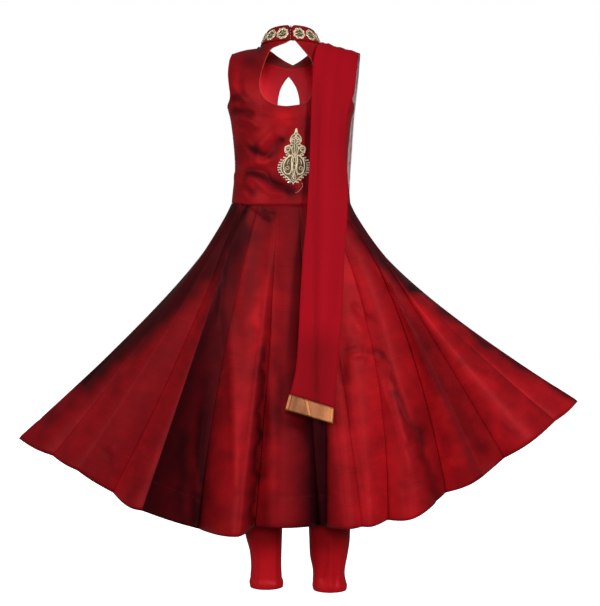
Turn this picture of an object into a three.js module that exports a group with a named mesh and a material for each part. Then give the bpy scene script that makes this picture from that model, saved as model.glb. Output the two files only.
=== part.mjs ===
// A girl's salwar suit, filled out as if worn: a sleeveless anarkali dress with a
// stand collar and a spread gored skirt, slim trousers, and a pleated stole over one
// shoulder. Millimetres, +Z up, front facing -Y, wearer's left at +X. The origin is
// midway between the shoulders, where the wearer carries the dress.
import * as THREE from "three";

const SEAM_GAP = 0.3;
const HALF_GAP = SEAM_GAP / 2;
const LAYER_GAP = 0.5;
const DRESS_RED = 0x7c0f16;
const LINING_RED = 0xa81828;
const FACING_RED = 0x4a0c10;
const STOLE_RED = 0xa40e22;
const TROUSER_RED = 0x9a0d16;
const GOLD = 0xc9a066;

// Bodice
const BODICE_WALL = 1.6;
const LINING_WALL = 1;
const WAIST_Z = -261;
const UNDERARM_Z = -90;
const COLLAR_SEAM_Z = 18.7;
const COLLAR_BASE_X = 54.5;
const SHOULDER_TIP_X = 105;
const FACING_BELOW_NECK = 4.5;

// Collar band
const COLLAR_WALL = 2.4;
const COLLAR_BASE_Z = COLLAR_SEAM_Z + 1.4;
const COLLAR_BASE_R = 54.5;
const COLLAR_TOP_R = 43.5;
const COLLAR_TOP_Z = 44;
const COLLAR_FRONT_RISE = 5;
const COLLAR_FRONT_GAP = 1.8;
const COLLAR_END_DEG = 89.5;
const COLLAR_COLUMNS = 14;
const COLLAR_ROWS = 3;

// Skirt
const SKIRT_WALL = 1.5;
const SKIRT_ROWS = 8;
const GORE_COLUMNS = 5;
const GORE_INSET = 0.2;

// Trousers
const TROUSER_WALL = 1.5;
const WAISTBAND_HEIGHT = 26;
const WAISTBAND_GAP = 0.7;
const WAISTBAND_STEPS = 28;
const WAISTBAND_ROWS = 3;
const ON_MIDDLE = 0.01;

// Horizontal sections of the bodice: half width, and depth in front and behind.
const TORSO = [
  { z: -262, half: 107, front: 74, back: 70 },
  { z: -238, half: 104.5, front: 73, back: 69 },
  { z: -202, half: 101, front: 74, back: 70 },
  { z: -160, half: 103, front: 77, back: 72 },
  { z: -112, half: 109, front: 79, back: 74 },
  { z: -90, half: 114.5, front: 79, back: 75 },
  { z: -60, half: 121, front: 79, back: 76 },
  { z: -30, half: 125, front: 78, back: 76 },
  { z: 70, half: 125, front: 78, back: 76 },
];

// Height of the line where front and back would meet, by distance from the middle.
// Under the collar it is only the cloth's direction, because the collar cuts it off.
const RIDGE = [
  { x: 0, z: 66 },
  { x: 20, z: 60 },
  { x: 36, z: 46 },
  { x: 48, z: 31 },
  { x: 54.5, z: COLLAR_SEAM_Z },
  { x: 66, z: 15.5 },
  { x: 81, z: 13.5 },
  { x: 105, z: 6.5 },
  { x: 126, z: -5 },
];

// Edge of the armhole in front view, from the shoulder tip to the underarm.
const ARMHOLE = [
  { x: 105, z: 6.5 },
  { x: 109.5, z: -9 },
  { x: 111.5, z: -34 },
  { x: 109, z: -60 },
  { x: 108, z: -78 },
  { x: 114.5, z: -90 },
];

// Edges of the front neck opening, from the collar down to its lowest point.
const NECK_RIGHT = [
  { x: -2, z: COLLAR_SEAM_Z },
  { x: -10, z: 14 },
  { x: -22, z: 9.5 },
  { x: -36, z: 2 },
  { x: -48, z: -27 },
  { x: -54, z: -52 },
  { x: -53.5, z: -71 },
  { x: -43, z: -88 },
  { x: -24, z: -98 },
  { x: -8, z: -100.5 },
];
const NECK_LEFT = [
  { x: 8, z: COLLAR_SEAM_Z },
  { x: 18, z: 6 },
  { x: 27, z: -5 },
  { x: 37.5, z: -20 },
  { x: 38, z: -45 },
  { x: 37, z: -70 },
  { x: 31, z: -90 },
  { x: 16, z: -98 },
  { x: -8, z: -100.5 },
];

// Back neckline from the collar's end to the middle, and the keyhole below it.
const BACK_NECK = [
  { x: 54.5, z: COLLAR_SEAM_Z },
  { x: 41, z: 22 },
  { x: 27, z: 14.5 },
  { x: 13, z: 6.3 },
  { x: 0, z: 0 },
];
const KEYHOLE = [
  { x: 0, z: -20.5 },
  { x: 8, z: -30 },
  { x: 16, z: -45 },
  { x: 20.5, z: -68 },
  { x: 18, z: -90 },
  { x: 9, z: -104 },
  { x: 0, z: -109 },
];
const BACK_MIDDLE = { neckX: 3, holeX: -5 };

// Skirt seams from the wearer's right side round the front to the left side. waist is
// the angle round the waist, hem the hem point, ctrl the point that bends the seam in
// front view. The gore after the seam swells out by crest at the hem, at the share of
// its width given by at, and its hem dips there by sag.
const FRONT_SEAMS = [
  { waist: 0, hemX: -491, hemY: 0, hemZ: -684, ctrlX: -135, ctrlZ: -367, crest: 8, at: 0.5, sag: 2 },
  { waist: 11, hemX: -418, hemY: -52, hemZ: -709, ctrlX: -160, ctrlZ: -380, crest: 6, at: 0.5, sag: 1 },
  { waist: 21, hemX: -366, hemY: -98, hemZ: -728, ctrlX: -164, ctrlZ: -422, crest: 4, at: 0.4, sag: 1 },
  { waist: 31, hemX: -306, hemY: -92, hemZ: -767, ctrlX: -158, ctrlZ: -478, crest: 14, at: 0.55, sag: 4 },
  { waist: 41, hemX: -247, hemY: -158, hemZ: -786, ctrlX: -163, ctrlZ: -524, crest: -16, at: 0.5, sag: 5 },
  { waist: 59, hemX: -161, hemY: -92, hemZ: -829, ctrlX: -130, ctrlZ: -556, crest: 74, at: 0.74, sag: 2 },
  { waist: 78, hemX: -60, hemY: -112, hemZ: -821, ctrlX: -36, ctrlZ: -540, crest: 24, at: 0.45, sag: -1 },
  { waist: 97, hemX: 47, hemY: -104, hemZ: -822, ctrlX: 30, ctrlZ: -540, crest: 26, at: 0.6, sag: 0 },
  { waist: 111, hemX: 120, hemY: -148, hemZ: -815, ctrlX: 88, ctrlZ: -530, crest: 16, at: 0.4, sag: 1 },
  { waist: 123, hemX: 165, hemY: -120, hemZ: -809, ctrlX: 170, ctrlZ: -500, crest: 38, at: 0.45, sag: 10 },
  { waist: 136, hemX: 268, hemY: -86, hemZ: -768, ctrlX: 204, ctrlZ: -408, crest: 12, at: 0.55, sag: 2 },
  { waist: 147, hemX: 325, hemY: -132, hemZ: -733, ctrlX: 194, ctrlZ: -428, crest: -6, at: 0.5, sag: 2 },
  { waist: 158, hemX: 372, hemY: -68, hemZ: -711, ctrlX: 204, ctrlZ: -422, crest: 24, at: 0.45, sag: 0 },
  { waist: 169, hemX: 466, hemY: -44, hemZ: -649, ctrlX: 168, ctrlZ: -396, crest: 8, at: 0.5, sag: 1 },
  { waist: 180, hemX: 517, hemY: 0, hemZ: -617, ctrlX: 139, ctrlZ: -381, crest: 8, at: 0.5, sag: 0 },
];
const BACK_SWELL_SHARE = 0.9;
const HEM_DEPTH_BEND = 0.35;
const SWELL_POWER = 1.6;

// The folded stole, from its front end over the shoulder to its back end: its two
// edges on the side towards the body.
const STOLE_THICKNESS = 5;
const STOLE_WIDTH = 80;
const STOLE_LAYERS = [0.25, 0.5, 0.75];
const STOLE_NOTCH = 1.4;
const STOLE_WAVE = { height: 0.5, turns: 9 };
const STOLE_STEPS = { top: 7, under: 3, border: 2, front: 18, back: 16 };
// Rows of the path before the cloth passes from the front stretch to the back one, and
// the gap between two stretches, as a share of a row
const STOLE_CROSSING = 14;
const STOLE_SEAM = 0.012;
const STOLE_PATH = [
  { lx: -9, ly: -146, lz: -620, rx: 71.5, ry: -150, rz: -643 },
  { lx: -1, ly: -142, lz: -594, rx: 73, ry: -145, rz: -617 },
  { lx: 8, ly: -132, lz: -555, rx: 78, ry: -134, rz: -565 },
  { lx: 13, ly: -119, lz: -490, rx: 84, ry: -121, rz: -495 },
  { lx: 16, ly: -108, lz: -430, rx: 89, ry: -108, rz: -430 },
  { lx: 21, ly: -96, lz: -355, rx: 92, ry: -94, rz: -355 },
  { lx: 27, ly: -88, lz: -295, rx: 97, ry: -82, rz: -295 },
  { lx: 30, ly: -84, lz: -240, rx: 98.5, ry: -72, rz: -240 },
  { lx: 32.5, ly: -84, lz: -180, rx: 95, ry: -67, rz: -180 },
  { lx: 34, ly: -86, lz: -120, rx: 98, ry: -68, rz: -120 },
  { lx: 35.5, ly: -83, lz: -70, rx: 110, ry: -60, rz: -72 },
  { lx: 38, ly: -72, lz: -25, rx: 115, ry: -44, rz: -30 },
  { lx: 44, ly: -53, lz: 6, rx: 118, ry: -26, rz: -6 },
  { lx: 52, ly: -30, lz: 17, rx: 121, ry: -11, rz: 1.5 },
  { lx: 58, ly: -8, lz: 20.5, rx: 123, ry: 2, rz: 3.2 },
  { lx: 58, ly: 14, lz: 19, rx: 124, ry: 14, rz: 2 },
  { lx: 52, ly: 38, lz: 12, rx: 124, ry: 30, rz: -6 },
  { lx: 49, ly: 63, lz: -14, rx: 123, ry: 50, rz: -31 },
  { lx: 45, ly: 80, lz: -62, rx: 119, ry: 66, rz: -75 },
  { lx: 40, ly: 85, lz: -130, rx: 114, ry: 74, rz: -135 },
  { lx: 34, ly: 84, lz: -200, rx: 110, ry: 76, rz: -200 },
  { lx: 30, ly: 84, lz: -255, rx: 109, ry: 80, rz: -255 },
  { lx: 26, ly: 93, lz: -325, rx: 106, ry: 91, rz: -325 },
  { lx: 20, ly: 108, lz: -430, rx: 100, ry: 108, rz: -430 },
  { lx: 14, ly: 125, lz: -540, rx: 96, ry: 127, rz: -540 },
  { lx: 8, ly: 143, lz: -650, rx: 94, ry: 147, rz: -655 },
  { lx: 6, ly: 151, lz: -700, rx: 93, ry: 156, rz: -706 },
  { lx: 5, ly: 155, lz: -726, rx: 93, ry: 160, rz: -732 },
];

// Horizontal sections of each trouser leg, from cuff to crotch.
const LEG_RIGHT = [
  { z: -951, x: -43.9, half: 29.6, depth: 27 },
  { z: -942, x: -44.2, half: 30.6, depth: 28 },
  { z: -933, x: -44.7, half: 28.4, depth: 26 },
  { z: -912, x: -44.6, half: 27.6, depth: 26 },
  { z: -886, x: -45.6, half: 29, depth: 28 },
  { z: -856, x: -49, half: 33.4, depth: 32 },
  { z: -800, x: -50.5, half: 36.8, depth: 37 },
  { z: -720, x: -52, half: 40, depth: 42 },
  { z: -630, x: -53, half: 42, depth: 44 },
  { z: -545, x: -54, half: 47, depth: 52 },
  { z: -485, x: -54.5, half: 52, depth: 62 },
];
const LEG_LEFT = [
  { z: -956, x: 70, half: 30, depth: 28 },
  { z: -948, x: 69.8, half: 31.4, depth: 29 },
  { z: -932, x: 68.2, half: 29, depth: 27 },
  { z: -918, x: 68, half: 29.4, depth: 28 },
  { z: -894, x: 67.9, half: 34, depth: 31 },
  { z: -858, x: 69.2, half: 37, depth: 34 },
  { z: -800, x: 68, half: 39, depth: 38 },
  { z: -720, x: 64, half: 41.5, depth: 42 },
  { z: -630, x: 60, half: 43, depth: 44 },
  { z: -545, x: 57, half: 47, depth: 52 },
  { z: -485, x: 55, half: 52, depth: 62 },
];
// Sections of the seat, from the crotch up to just below the waistband.
const SEAT = [
  { z: -448, half: 108, front: 67, back: 70 },
  { z: -400, half: 112, front: 70, back: 71.5 },
  { z: -345, half: 108, front: 69.5, back: 68.5 },
  { z: -300, half: 102.5, front: 68, back: 65 },
];
const LEG_OUTER_STEPS = 10;
const LEG_INNER_STEPS = 6;
const CROTCH_DIP = 26;
const WAISTBAND_TOP_Z = -249;
const WAISTBAND_TAPER = 0.3;

// Half width of the chest ornament by distance below its tip, and how proud it stands.
const MOTIF = [
  { down: 0, half: 1.2, proud: 1.6 },
  { down: 8, half: 3.2, proud: 2.2 },
  { down: 14, half: 9, proud: 2.2 },
  { down: 22, half: 11.5, proud: 2.6 },
  { down: 28, half: 9, proud: 2.2 },
  { down: 32, half: 18.5, proud: 2.8 },
  { down: 41, half: 19, proud: 2.8 },
  { down: 46, half: 14.5, proud: 2.4 },
  { down: 56, half: 24.5, proud: 3 },
  { down: 67, half: 28, proud: 3.2 },
  { down: 77, half: 25, proud: 3 },
  { down: 86, half: 15, proud: 2.6 },
  { down: 93, half: 8, proud: 2.4 },
  { down: 97, half: 2, proud: 1.8 },
];
const MOTIF_TOP = { x: 10, z: -138 };
const MOTIF_LEAN = -0.06;
const MOTIF_ROWS = 20;
const MOTIF_COLUMNS = 8;
const MOTIF_SIDE_FALL = 0.35;
const PAISLEY = { x: 11.5, down: 66, halfX: 8, halfZ: 17, rim: 1.1, rimWidth: 0.25 };

// Flowers on each half of the collar
const FLOWER_ANGLES = [17, 44, 71];
const FLOWER_R = 10.5;
const FLOWER_PETALS = 6;
const FLOWER_SPOKES = 24;
const FLOWER_HEIGHT = 2.2;
// Share of the collar's height at a flower's middle, and the collar's own size there
const FLOWER_MIDDLE = 0.42;
const FLOWER_BAND = 28;
const FLOWER_BEND_R = 50;
// A flower's lobes, its hub, and how its height goes out from the middle
const FLOWER_RINGS = 3;
const FLOWER_LOBE = 0.1;
const FLOWER_HUB = 0.12;
const FLOWER_BASE = 0.8;
const FLOWER_RIM = { at: 0.85, width: 0.22 };
const FLOWER_EYE = { height: 0.8, width: 0.25 };

const vec = (x, y, z) => new THREE.Vector3(x, y, z);
const lerp = THREE.MathUtils.lerp;
const radians = THREE.MathUtils.degToRad;

// Value of a named column of a table at a place along its key column, smoothly.
function column(table, key, name, at) {
  const rising = table[table.length - 1][key] > table[0][key];
  const past = (row) => (rising ? row[key] > at : row[key] < at);
  let i = table.findIndex(past);
  if (i < 0) i = table.length - 1;
  i = Math.max(1, i);
  const a = table[i - 1];
  const b = table[i];
  const before = table[Math.max(0, i - 2)];
  const after = table[Math.min(table.length - 1, i + 1)];
  const span = b[key] - a[key];
  const t = THREE.MathUtils.clamp((at - a[key]) / span, 0, 1);
  const slopeA = ((b[name] - before[name]) / (b[key] - before[key])) * span;
  const slopeB = ((after[name] - a[name]) / (after[key] - a[key])) * span;
  const t2 = t * t;
  const t3 = t2 * t;
  return (
    (2 * t3 - 3 * t2 + 1) * a[name] +
    (t3 - 2 * t2 + t) * slopeA +
    (-2 * t3 + 3 * t2) * b[name] +
    (t3 - t2) * slopeB
  );
}

// A smooth line through table points, read by share of its length.
function lineThrough(rows, mirror = 1, shiftX = 0) {
  const spline = new THREE.SplineCurve(
    rows.map((row) => new THREE.Vector2(row.x * mirror + shiftX, row.z)),
  );
  return (share) => spline.getPointAt(THREE.MathUtils.clamp(share, 0, 1));
}

// One line after another, each over its own number of grid rows.
function chain(...stretches) {
  const total = stretches.reduce((sum, [, rows]) => sum + rows, 0);
  return (t) => {
    let start = 0;
    for (const [line, rows] of stretches) {
      const local = (t * total - start) / rows;
      if (local <= 1 + 1e-9) return line(Math.min(local, 1));
      start += rows;
    }
    return stretches[stretches.length - 1][0](1);
  };
}

// A sheet of cloth collected as points and outward-facing quads.
class Sheet {
  constructor() {
    this.points = [];
    this.quads = [];
    this.index = new Map();
  }
  add(p) {
    const key = [p.x, p.y, p.z].map((v) => Math.round(v * 1e3)).join();
    if (!this.index.has(key)) {
      this.index.set(key, this.points.length);
      this.points.push(p);
    }
    return this.index.get(key);
  }
  // Quads over a grid of points. Each is split from its upper left corner, or from its
  // lower left one where the grid is a mirrored copy.
  grid(columns, rows, pointAt, mirrored = false) {
    const ids = [];
    for (let r = 0; r <= rows; r++) {
      ids.push([]);
      for (let c = 0; c <= columns; c++) ids[r].push(this.add(pointAt(c / columns, r / rows)));
    }
    for (let r = 0; r < rows; r++)
      for (let c = 0; c < columns; c++) {
        const quad = [ids[r][c], ids[r + 1][c], ids[r + 1][c + 1], ids[r][c + 1]];
        if (mirrored) quad.push(quad.shift());
        this.quads.push(quad);
      }
    return ids;
  }
  normals() {
    const sums = this.points.map(() => vec(0, 0, 0));
    for (const [a, b, c, d] of this.quads) {
      const p = this.points;
      const n = p[c].clone().sub(p[a]).cross(p[d].clone().sub(p[b]));
      for (const i of new Set([a, b, c, d])) sums[i].add(n);
    }
    return sums.map((n) => n.normalize());
  }
}

// The same sheet moved out along its normals, or in where the distance is negative.
function movedSheet(sheet, normals, distance) {
  const moved = new Sheet();
  moved.points = sheet.points.map((p, i) => p.clone().addScaledVector(normals[i], distance));
  moved.quads = sheet.quads;
  return moved;
}

// The closed wall of a sheet: outer points, points moved in by the thickness, edges.
function wallOf(sheet, thickness, normals = sheet.normals(), proudOf = null) {
  const count = sheet.points.length;
  const outer = proudOf
    ? sheet.points.map((p, i) => p.clone().addScaledVector(normals[i], proudOf(i)))
    : sheet.points;
  const inner = sheet.points.map((p, i) =>
    p.clone().addScaledVector(normals[i], -thickness),
  );
  const triangles = [];
  const edges = new Map();
  for (const quad of sheet.quads) {
    const ring = quad.filter((v, i) => v !== quad[(i + 3) % 4]);
    for (let i = 1; i + 1 < ring.length; i++) {
      triangles.push(ring[0], ring[i], ring[i + 1]);
      triangles.push(ring[0] + count, ring[i + 1] + count, ring[i] + count);
    }
    ring.forEach((a, i) => {
      const b = ring[(i + 1) % ring.length];
      edges.set(a + "_" + b, [a, b]);
    });
  }
  for (const [a, b] of edges.values())
    if (!edges.has(b + "_" + a)) {
      triangles.push(b, a, a + count);
      triangles.push(b, a + count, b + count);
    }
  const flat = [...outer, ...inner].flatMap((p) => [p.x, p.y, p.z]);
  const geometry = new THREE.BufferGeometry();
  geometry.setAttribute("position", new THREE.Float32BufferAttribute(flat, 3));
  geometry.setIndex(triangles);
  geometry.computeVertexNormals();
  return geometry;
}

const suit = new THREE.Group();

function cloth(name, geometry, colour, roughness = 0.45, metalness = 0) {
  const material = new THREE.MeshStandardMaterial({ color: colour, roughness, metalness });
  const mesh = new THREE.Mesh(geometry, material);
  mesh.name = name;
  suit.add(mesh);
}

// Bodice surface in front (side -1) or behind (side 1), at a share s of the way from
// the middle to the side seam, and a height z.
function torsoPoint(s, z, side) {
  const half = column(TORSO, "z", "half", z);
  const depth = column(TORSO, "z", side < 0 ? "front" : "back", z);
  const angle = (s * Math.PI) / 2;
  const x = half * Math.sin(angle);
  const ridge = column(RIDGE, "x", "z", Math.abs(x));
  const climb = THREE.MathUtils.clamp((z - UNDERARM_Z) / (ridge - UNDERARM_Z), 0, 1);
  const lean = Math.sqrt(1 - climb * climb);
  return vec(x, side * (HALF_GAP + depth * Math.cos(angle) * lean), z);
}

// Side share of a point given by x in front view.
function sideShare(x, z) {
  const half = column(TORSO, "z", "half", z);
  return Math.asin(THREE.MathUtils.clamp(x / half, -1, 1)) / (Math.PI / 2);
}

// A patch between four border lines, each a function of a share, in (s, z).
function patch(inner, outer, top, bottom) {
  const at = (line, t) => {
    const p = line(t);
    return p.isShare ? p : { s: sideShare(p.x, p.y), z: p.y };
  };
  const corner = [at(inner, 0), at(outer, 0), at(inner, 1), at(outer, 1)];
  return (c, r) => {
    const [i, o, t, b] = [at(inner, r), at(outer, r), at(top, c), at(bottom, c)];
    const mix = (k) =>
      (1 - c) * i[k] + c * o[k] + (1 - r) * t[k] + r * b[k] -
      ((1 - c) * (1 - r) * corner[0][k] + c * (1 - r) * corner[1][k] +
        (1 - c) * r * corner[2][k] + c * r * corner[3][k]);
    return { s: mix("s"), z: mix("z") };
  };
}

const share = (s, z) => ({ isShare: true, s, z });
const point2 = (x, z) => new THREE.Vector2(x, z);
const straight = (a, b) => (t) => point2(lerp(a.x, b.x, t), lerp(a.y, b.y, t));
// Rows of the bodice grid, from the shoulder down to the waist
const ROWS = { neck: 3, facing: 1, bridge: 1, keyhole: 4, seam: 7 };
const NECK_ROWS = ROWS.neck + ROWS.facing + ROWS.bridge + ROWS.keyhole;
const FACING_ROWS = ROWS.neck + ROWS.facing;
const BODICE_ROWS = NECK_ROWS + ROWS.seam;
const BODICE_COLUMNS = 8;

// The outer border of a bodice half: armhole, then side seam. The armhole's first
// point below the shoulder tip ends the rows of the facing.
function outerBorder(mirror) {
  return chain(
    [lineThrough(ARMHOLE.slice(0, 2), mirror), FACING_ROWS],
    [lineThrough(ARMHOLE.slice(1), mirror), NECK_ROWS - FACING_ROWS],
    [(t) => share(mirror, lerp(UNDERARM_Z, WAIST_Z, t)), ROWS.seam],
  );
}

function shoulderLine(mirror) {
  return (t) => {
    const x = lerp(COLLAR_BASE_X, SHOULDER_TIP_X, t);
    return point2(mirror * x, column(RIDGE, "x", "z", x));
  };
}

// Normals of a bodice sheet, kept in the plane of each seam where it meets its
// neighbour: the side and shoulder seams, and the middle of the back.
function bodiceNormals(sheet, middleOffset = null) {
  return sheet.normals().map((n, i) => {
    const p = sheet.points[i];
    if (Math.abs(p.y) < 2 * HALF_GAP) n.y = 0;
    const middleX = backMiddleX(p.z) + middleOffset;
    if (middleOffset !== null && Math.abs(p.x - middleX) < 0.01) n.x = 0;
    return n.normalize();
  });
}

function bodiceFront() {
  const sheet = new Sheet();
  const low = NECK_RIGHT[NECK_RIGHT.length - 1];
  for (const [mirror, neck] of [[-1, NECK_RIGHT], [1, NECK_LEFT]]) {
    const middle = (t) => share(sideShare(low.x, low.z) * (1 - t), lerp(low.z, WAIST_Z, t));
    const base = straight(
      point2(neck[0].x, neck[0].z),
      point2(mirror * COLLAR_BASE_X, COLLAR_SEAM_Z),
    );
    const place = patch(
      chain([lineThrough(neck), NECK_ROWS], [middle, ROWS.seam]),
      outerBorder(mirror),
      chain([base, 1], [shoulderLine(mirror), 1]),
      (t) => share(mirror * t, WAIST_Z),
    );
    const pointAt = (c, r) => {
      const q = place(mirror < 0 ? 1 - c : c, r);
      return torsoPoint(q.s, q.z, -1);
    };
    sheet.grid(BODICE_COLUMNS, BODICE_ROWS, pointAt, mirror < 0);
  }
  cloth("bodice_front", wallOf(sheet, BODICE_WALL, bodiceNormals(sheet)), DRESS_RED);
}

const BACK_NECK_Z = BACK_NECK[BACK_NECK.length - 1].z;

// Where the middle of the back lies in rear view: it runs from the neckline's lowest
// point aside to the keyhole's axis, then straight down.
function backMiddleX(z) {
  const up = (z - KEYHOLE[0].z) / (BACK_NECK_Z - KEYHOLE[0].z);
  return lerp(BACK_MIDDLE.holeX, BACK_MIDDLE.neckX, THREE.MathUtils.clamp(up, 0, 1));
}

// One half of the back on a sheet: neckline, a short closed stretch of the middle,
// the keyhole's edge, and the closed middle down to the waist.
function backGrid(sheet, mirror, offset) {
  const end = BACK_NECK[0].x;
  const neck = BACK_NECK.map((row) => ({
    x: mirror * row.x + (BACK_MIDDLE.neckX + offset) * (1 - row.x / end),
    z: row.z,
  }));
  const middlePoint = (z) => point2(backMiddleX(z) + offset, z);
  const middle = (from, to) => straight(middlePoint(from), middlePoint(to));
  const facingZ = BACK_NECK_Z - FACING_BELOW_NECK;
  const holeTop = KEYHOLE[0].z;
  const holeEnd = KEYHOLE[KEYHOLE.length - 1].z;
  const holeX = BACK_MIDDLE.holeX + offset;
  const waistStart = sideShare(holeX, WAIST_Z);
  const place = patch(
    chain(
      [lineThrough(neck), ROWS.neck],
      [middle(BACK_NECK_Z, facingZ), ROWS.facing],
      [middle(facingZ, holeTop), ROWS.bridge],
      [lineThrough(KEYHOLE, mirror, holeX), ROWS.keyhole],
      [middle(holeEnd, WAIST_Z), ROWS.seam],
    ),
    outerBorder(mirror),
    shoulderLine(mirror),
    (t) => share(lerp(waistStart, mirror, t), WAIST_Z),
  );
  const pointAt = (c, r) => {
    const q = place(mirror > 0 ? 1 - c : c, r);
    return torsoPoint(q.s, q.z, 1);
  };
  return sheet.grid(BODICE_COLUMNS, BODICE_ROWS, pointAt, mirror > 0);
}

function bodiceBack(name, mirror) {
  const sheet = new Sheet();
  const offset = mirror * HALF_GAP;
  backGrid(sheet, mirror, offset);
  cloth(name, wallOf(sheet, BODICE_WALL, bodiceNormals(sheet, offset)), DRESS_RED);
}

// Some rows of the whole back's surface as a layer that lies inside it. Its top row is
// pulled down a little, clear of the layer above.
function insideBack(name, firstRow, lastRow, colour) {
  const back = new Sheet();
  const mirrors = [-1, 1];
  const halves = mirrors.map((mirror) => backGrid(back, mirror, 0));
  const moved = movedSheet(back, bodiceNormals(back), -(BODICE_WALL + LAYER_GAP));
  const layer = new Sheet();
  mirrors.forEach((mirror, half) => {
    const ids = halves[half];
    const pointAt = (c, r) => {
      const row = firstRow + Math.round(r * (lastRow - firstRow));
      const at = Math.round(c * BODICE_COLUMNS);
      const p = moved.points[ids[row][at]].clone();
      if (row !== firstRow || row === 0) return p;
      const down = moved.points[ids[row + 1][at]].clone().sub(p);
      return p.add(down.setLength(SEAM_GAP));
    };
    layer.grid(BODICE_COLUMNS, lastRow - firstRow, pointAt, mirror > 0);
  });
  cloth(name, wallOf(layer, LINING_WALL, bodiceNormals(layer)), colour, 0.5);
}

// Collar band surface at an angle from the front and a share of its height.
function collarPoint(degrees, up) {
  const a = radians(degrees);
  const x = COLLAR_BASE_R * Math.sin(a);
  const seam = torsoPoint(sideShare(x, COLLAR_SEAM_Z), COLLAR_SEAM_Z, -1);
  const base = vec(x, seam.y, COLLAR_BASE_Z);
  const top = vec(
    COLLAR_TOP_R * Math.sin(a),
    -COLLAR_TOP_R * Math.cos(a),
    COLLAR_TOP_Z + COLLAR_FRONT_RISE * Math.cos(a),
  );
  return base.lerp(top, up);
}

function collarHalf(name, mirror) {
  const sheet = new Sheet();
  const start = (COLLAR_FRONT_GAP / COLLAR_TOP_R) * (180 / Math.PI);
  sheet.grid(COLLAR_COLUMNS, COLLAR_ROWS, (c, r) => {
    const along = mirror > 0 ? c : 1 - c;
    return collarPoint(mirror * lerp(start, COLLAR_END_DEG, along), 1 - r);
  });
  cloth(name, wallOf(sheet, COLLAR_WALL), DRESS_RED);
}

function flower(name, degrees) {
  const sheet = new Sheet();
  const degreesPerMm = 180 / (Math.PI * FLOWER_BEND_R);
  sheet.grid(FLOWER_SPOKES, FLOWER_RINGS, (c, r) => {
    const turn = c * 2 * Math.PI;
    const petal = 1 + FLOWER_LOBE * Math.cos(FLOWER_PETALS * turn);
    const radius = FLOWER_R * petal * lerp(FLOWER_HUB, 1, r);
    return collarPoint(
      degrees + radius * Math.cos(turn) * degreesPerMm,
      FLOWER_MIDDLE + (radius * Math.sin(turn)) / FLOWER_BAND,
    );
  });
  const ring = sheet.quads.slice(0, FLOWER_SPOKES).map((quad) => quad[0]);
  const hub = sheet.add(collarPoint(degrees, FLOWER_MIDDLE));
  ring.forEach((id, i) => sheet.quads.push([hub, id, ring[(i + 1) % ring.length], hub]));
  const normals = sheet.normals();
  const seat = movedSheet(sheet, normals, SEAM_GAP);
  const reach = seat.points.map((p) => p.distanceTo(seat.points[hub]) / FLOWER_R);
  const proud = (i) => {
    const rim = Math.exp(-(((reach[i] - FLOWER_RIM.at) / FLOWER_RIM.width) ** 2));
    const eye = FLOWER_EYE.height * Math.exp(-((reach[i] / FLOWER_EYE.width) ** 2));
    return lerp(FLOWER_BASE, FLOWER_HEIGHT, Math.max(rim, eye));
  };
  cloth(name, wallOf(seat, 0, normals, proud), GOLD, 0.4, 0.6);
}

function chestMotif() {
  const sheet = new Sheet();
  const length = MOTIF[MOTIF.length - 1].down;
  const place = [];
  const ids = sheet.grid(MOTIF_COLUMNS, MOTIF_ROWS, (c, r) => {
    const down = r * length;
    const side = 2 * c - 1;
    const half = column(MOTIF, "down", "half", down);
    const x = MOTIF_TOP.x + MOTIF_LEAN * down + side * half;
    const z = MOTIF_TOP.z - down;
    return torsoPoint(sideShare(x, z), z, -1);
  });
  const normals = sheet.normals();
  ids.forEach((row, r) =>
    row.forEach((id, c) => {
      place[id] = { down: (r / MOTIF_ROWS) * length, side: (2 * c) / MOTIF_COLUMNS - 1 };
    }),
  );
  const seat = movedSheet(sheet, normals, SEAM_GAP);
  const proud = (i) => {
    const { down, side } = place[i];
    const half = column(MOTIF, "down", "half", down);
    const x = Math.abs(side * half);
    const oval = Math.hypot((x - PAISLEY.x) / PAISLEY.halfX, (down - PAISLEY.down) / PAISLEY.halfZ);
    const rim = PAISLEY.rim * Math.exp(-(((oval - 1) / PAISLEY.rimWidth) ** 2));
    return column(MOTIF, "down", "proud", down) * (1 - MOTIF_SIDE_FALL * side * side) + rim;
  };
  cloth("chest_motif", wallOf(seat, 0, normals, proud), GOLD, 0.4, 0.6);
}

// Point on the waist ring at an angle from the wearer's right side round the front.
function waistPoint(degrees) {
  const a = radians(degrees);
  const z = WAIST_Z - SEAM_GAP;
  const half = column(TORSO, "z", "half", z);
  const depth = column(TORSO, "z", Math.sin(a) > 0 ? "front" : "back", z);
  return vec(-half * Math.cos(a), -depth * Math.sin(a), z);
}

const BACK_SEAMS = FRONT_SEAMS.map((row) => ({
  ...row,
  waist: 360 - row.waist,
  hemY: -row.hemY,
  crest: row.crest * BACK_SWELL_SHARE,
})).reverse();

// The seams all the way round, each with the swell of the gore that follows it.
const SEAMS = [
  ...FRONT_SEAMS.slice(0, -1).map((row) => ({ ...row, crest: -row.crest })),
  ...BACK_SEAMS.slice(0, -1).map((row, i) => {
    const { crest, at, sag } = BACK_SEAMS[i + 1];
    return { ...row, crest, at: 1 - at, sag };
  }),
];

function seamPoint(row, waist, down) {
  const hem = vec(row.hemX, row.hemY, row.hemZ);
  const bend = vec(row.ctrlX, lerp(waist.y, row.hemY, HEM_DEPTH_BEND), row.ctrlZ);
  return new THREE.QuadraticBezierCurve3(waist, bend, hem).getPoint(down);
}

// A hump from 0 to 1 and back over a gore's width, highest at the given share.
function hump(across, at) {
  const t = across < at ? across / at : (1 - across) / (1 - at);
  return Math.sin((t * Math.PI) / 2);
}

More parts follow.
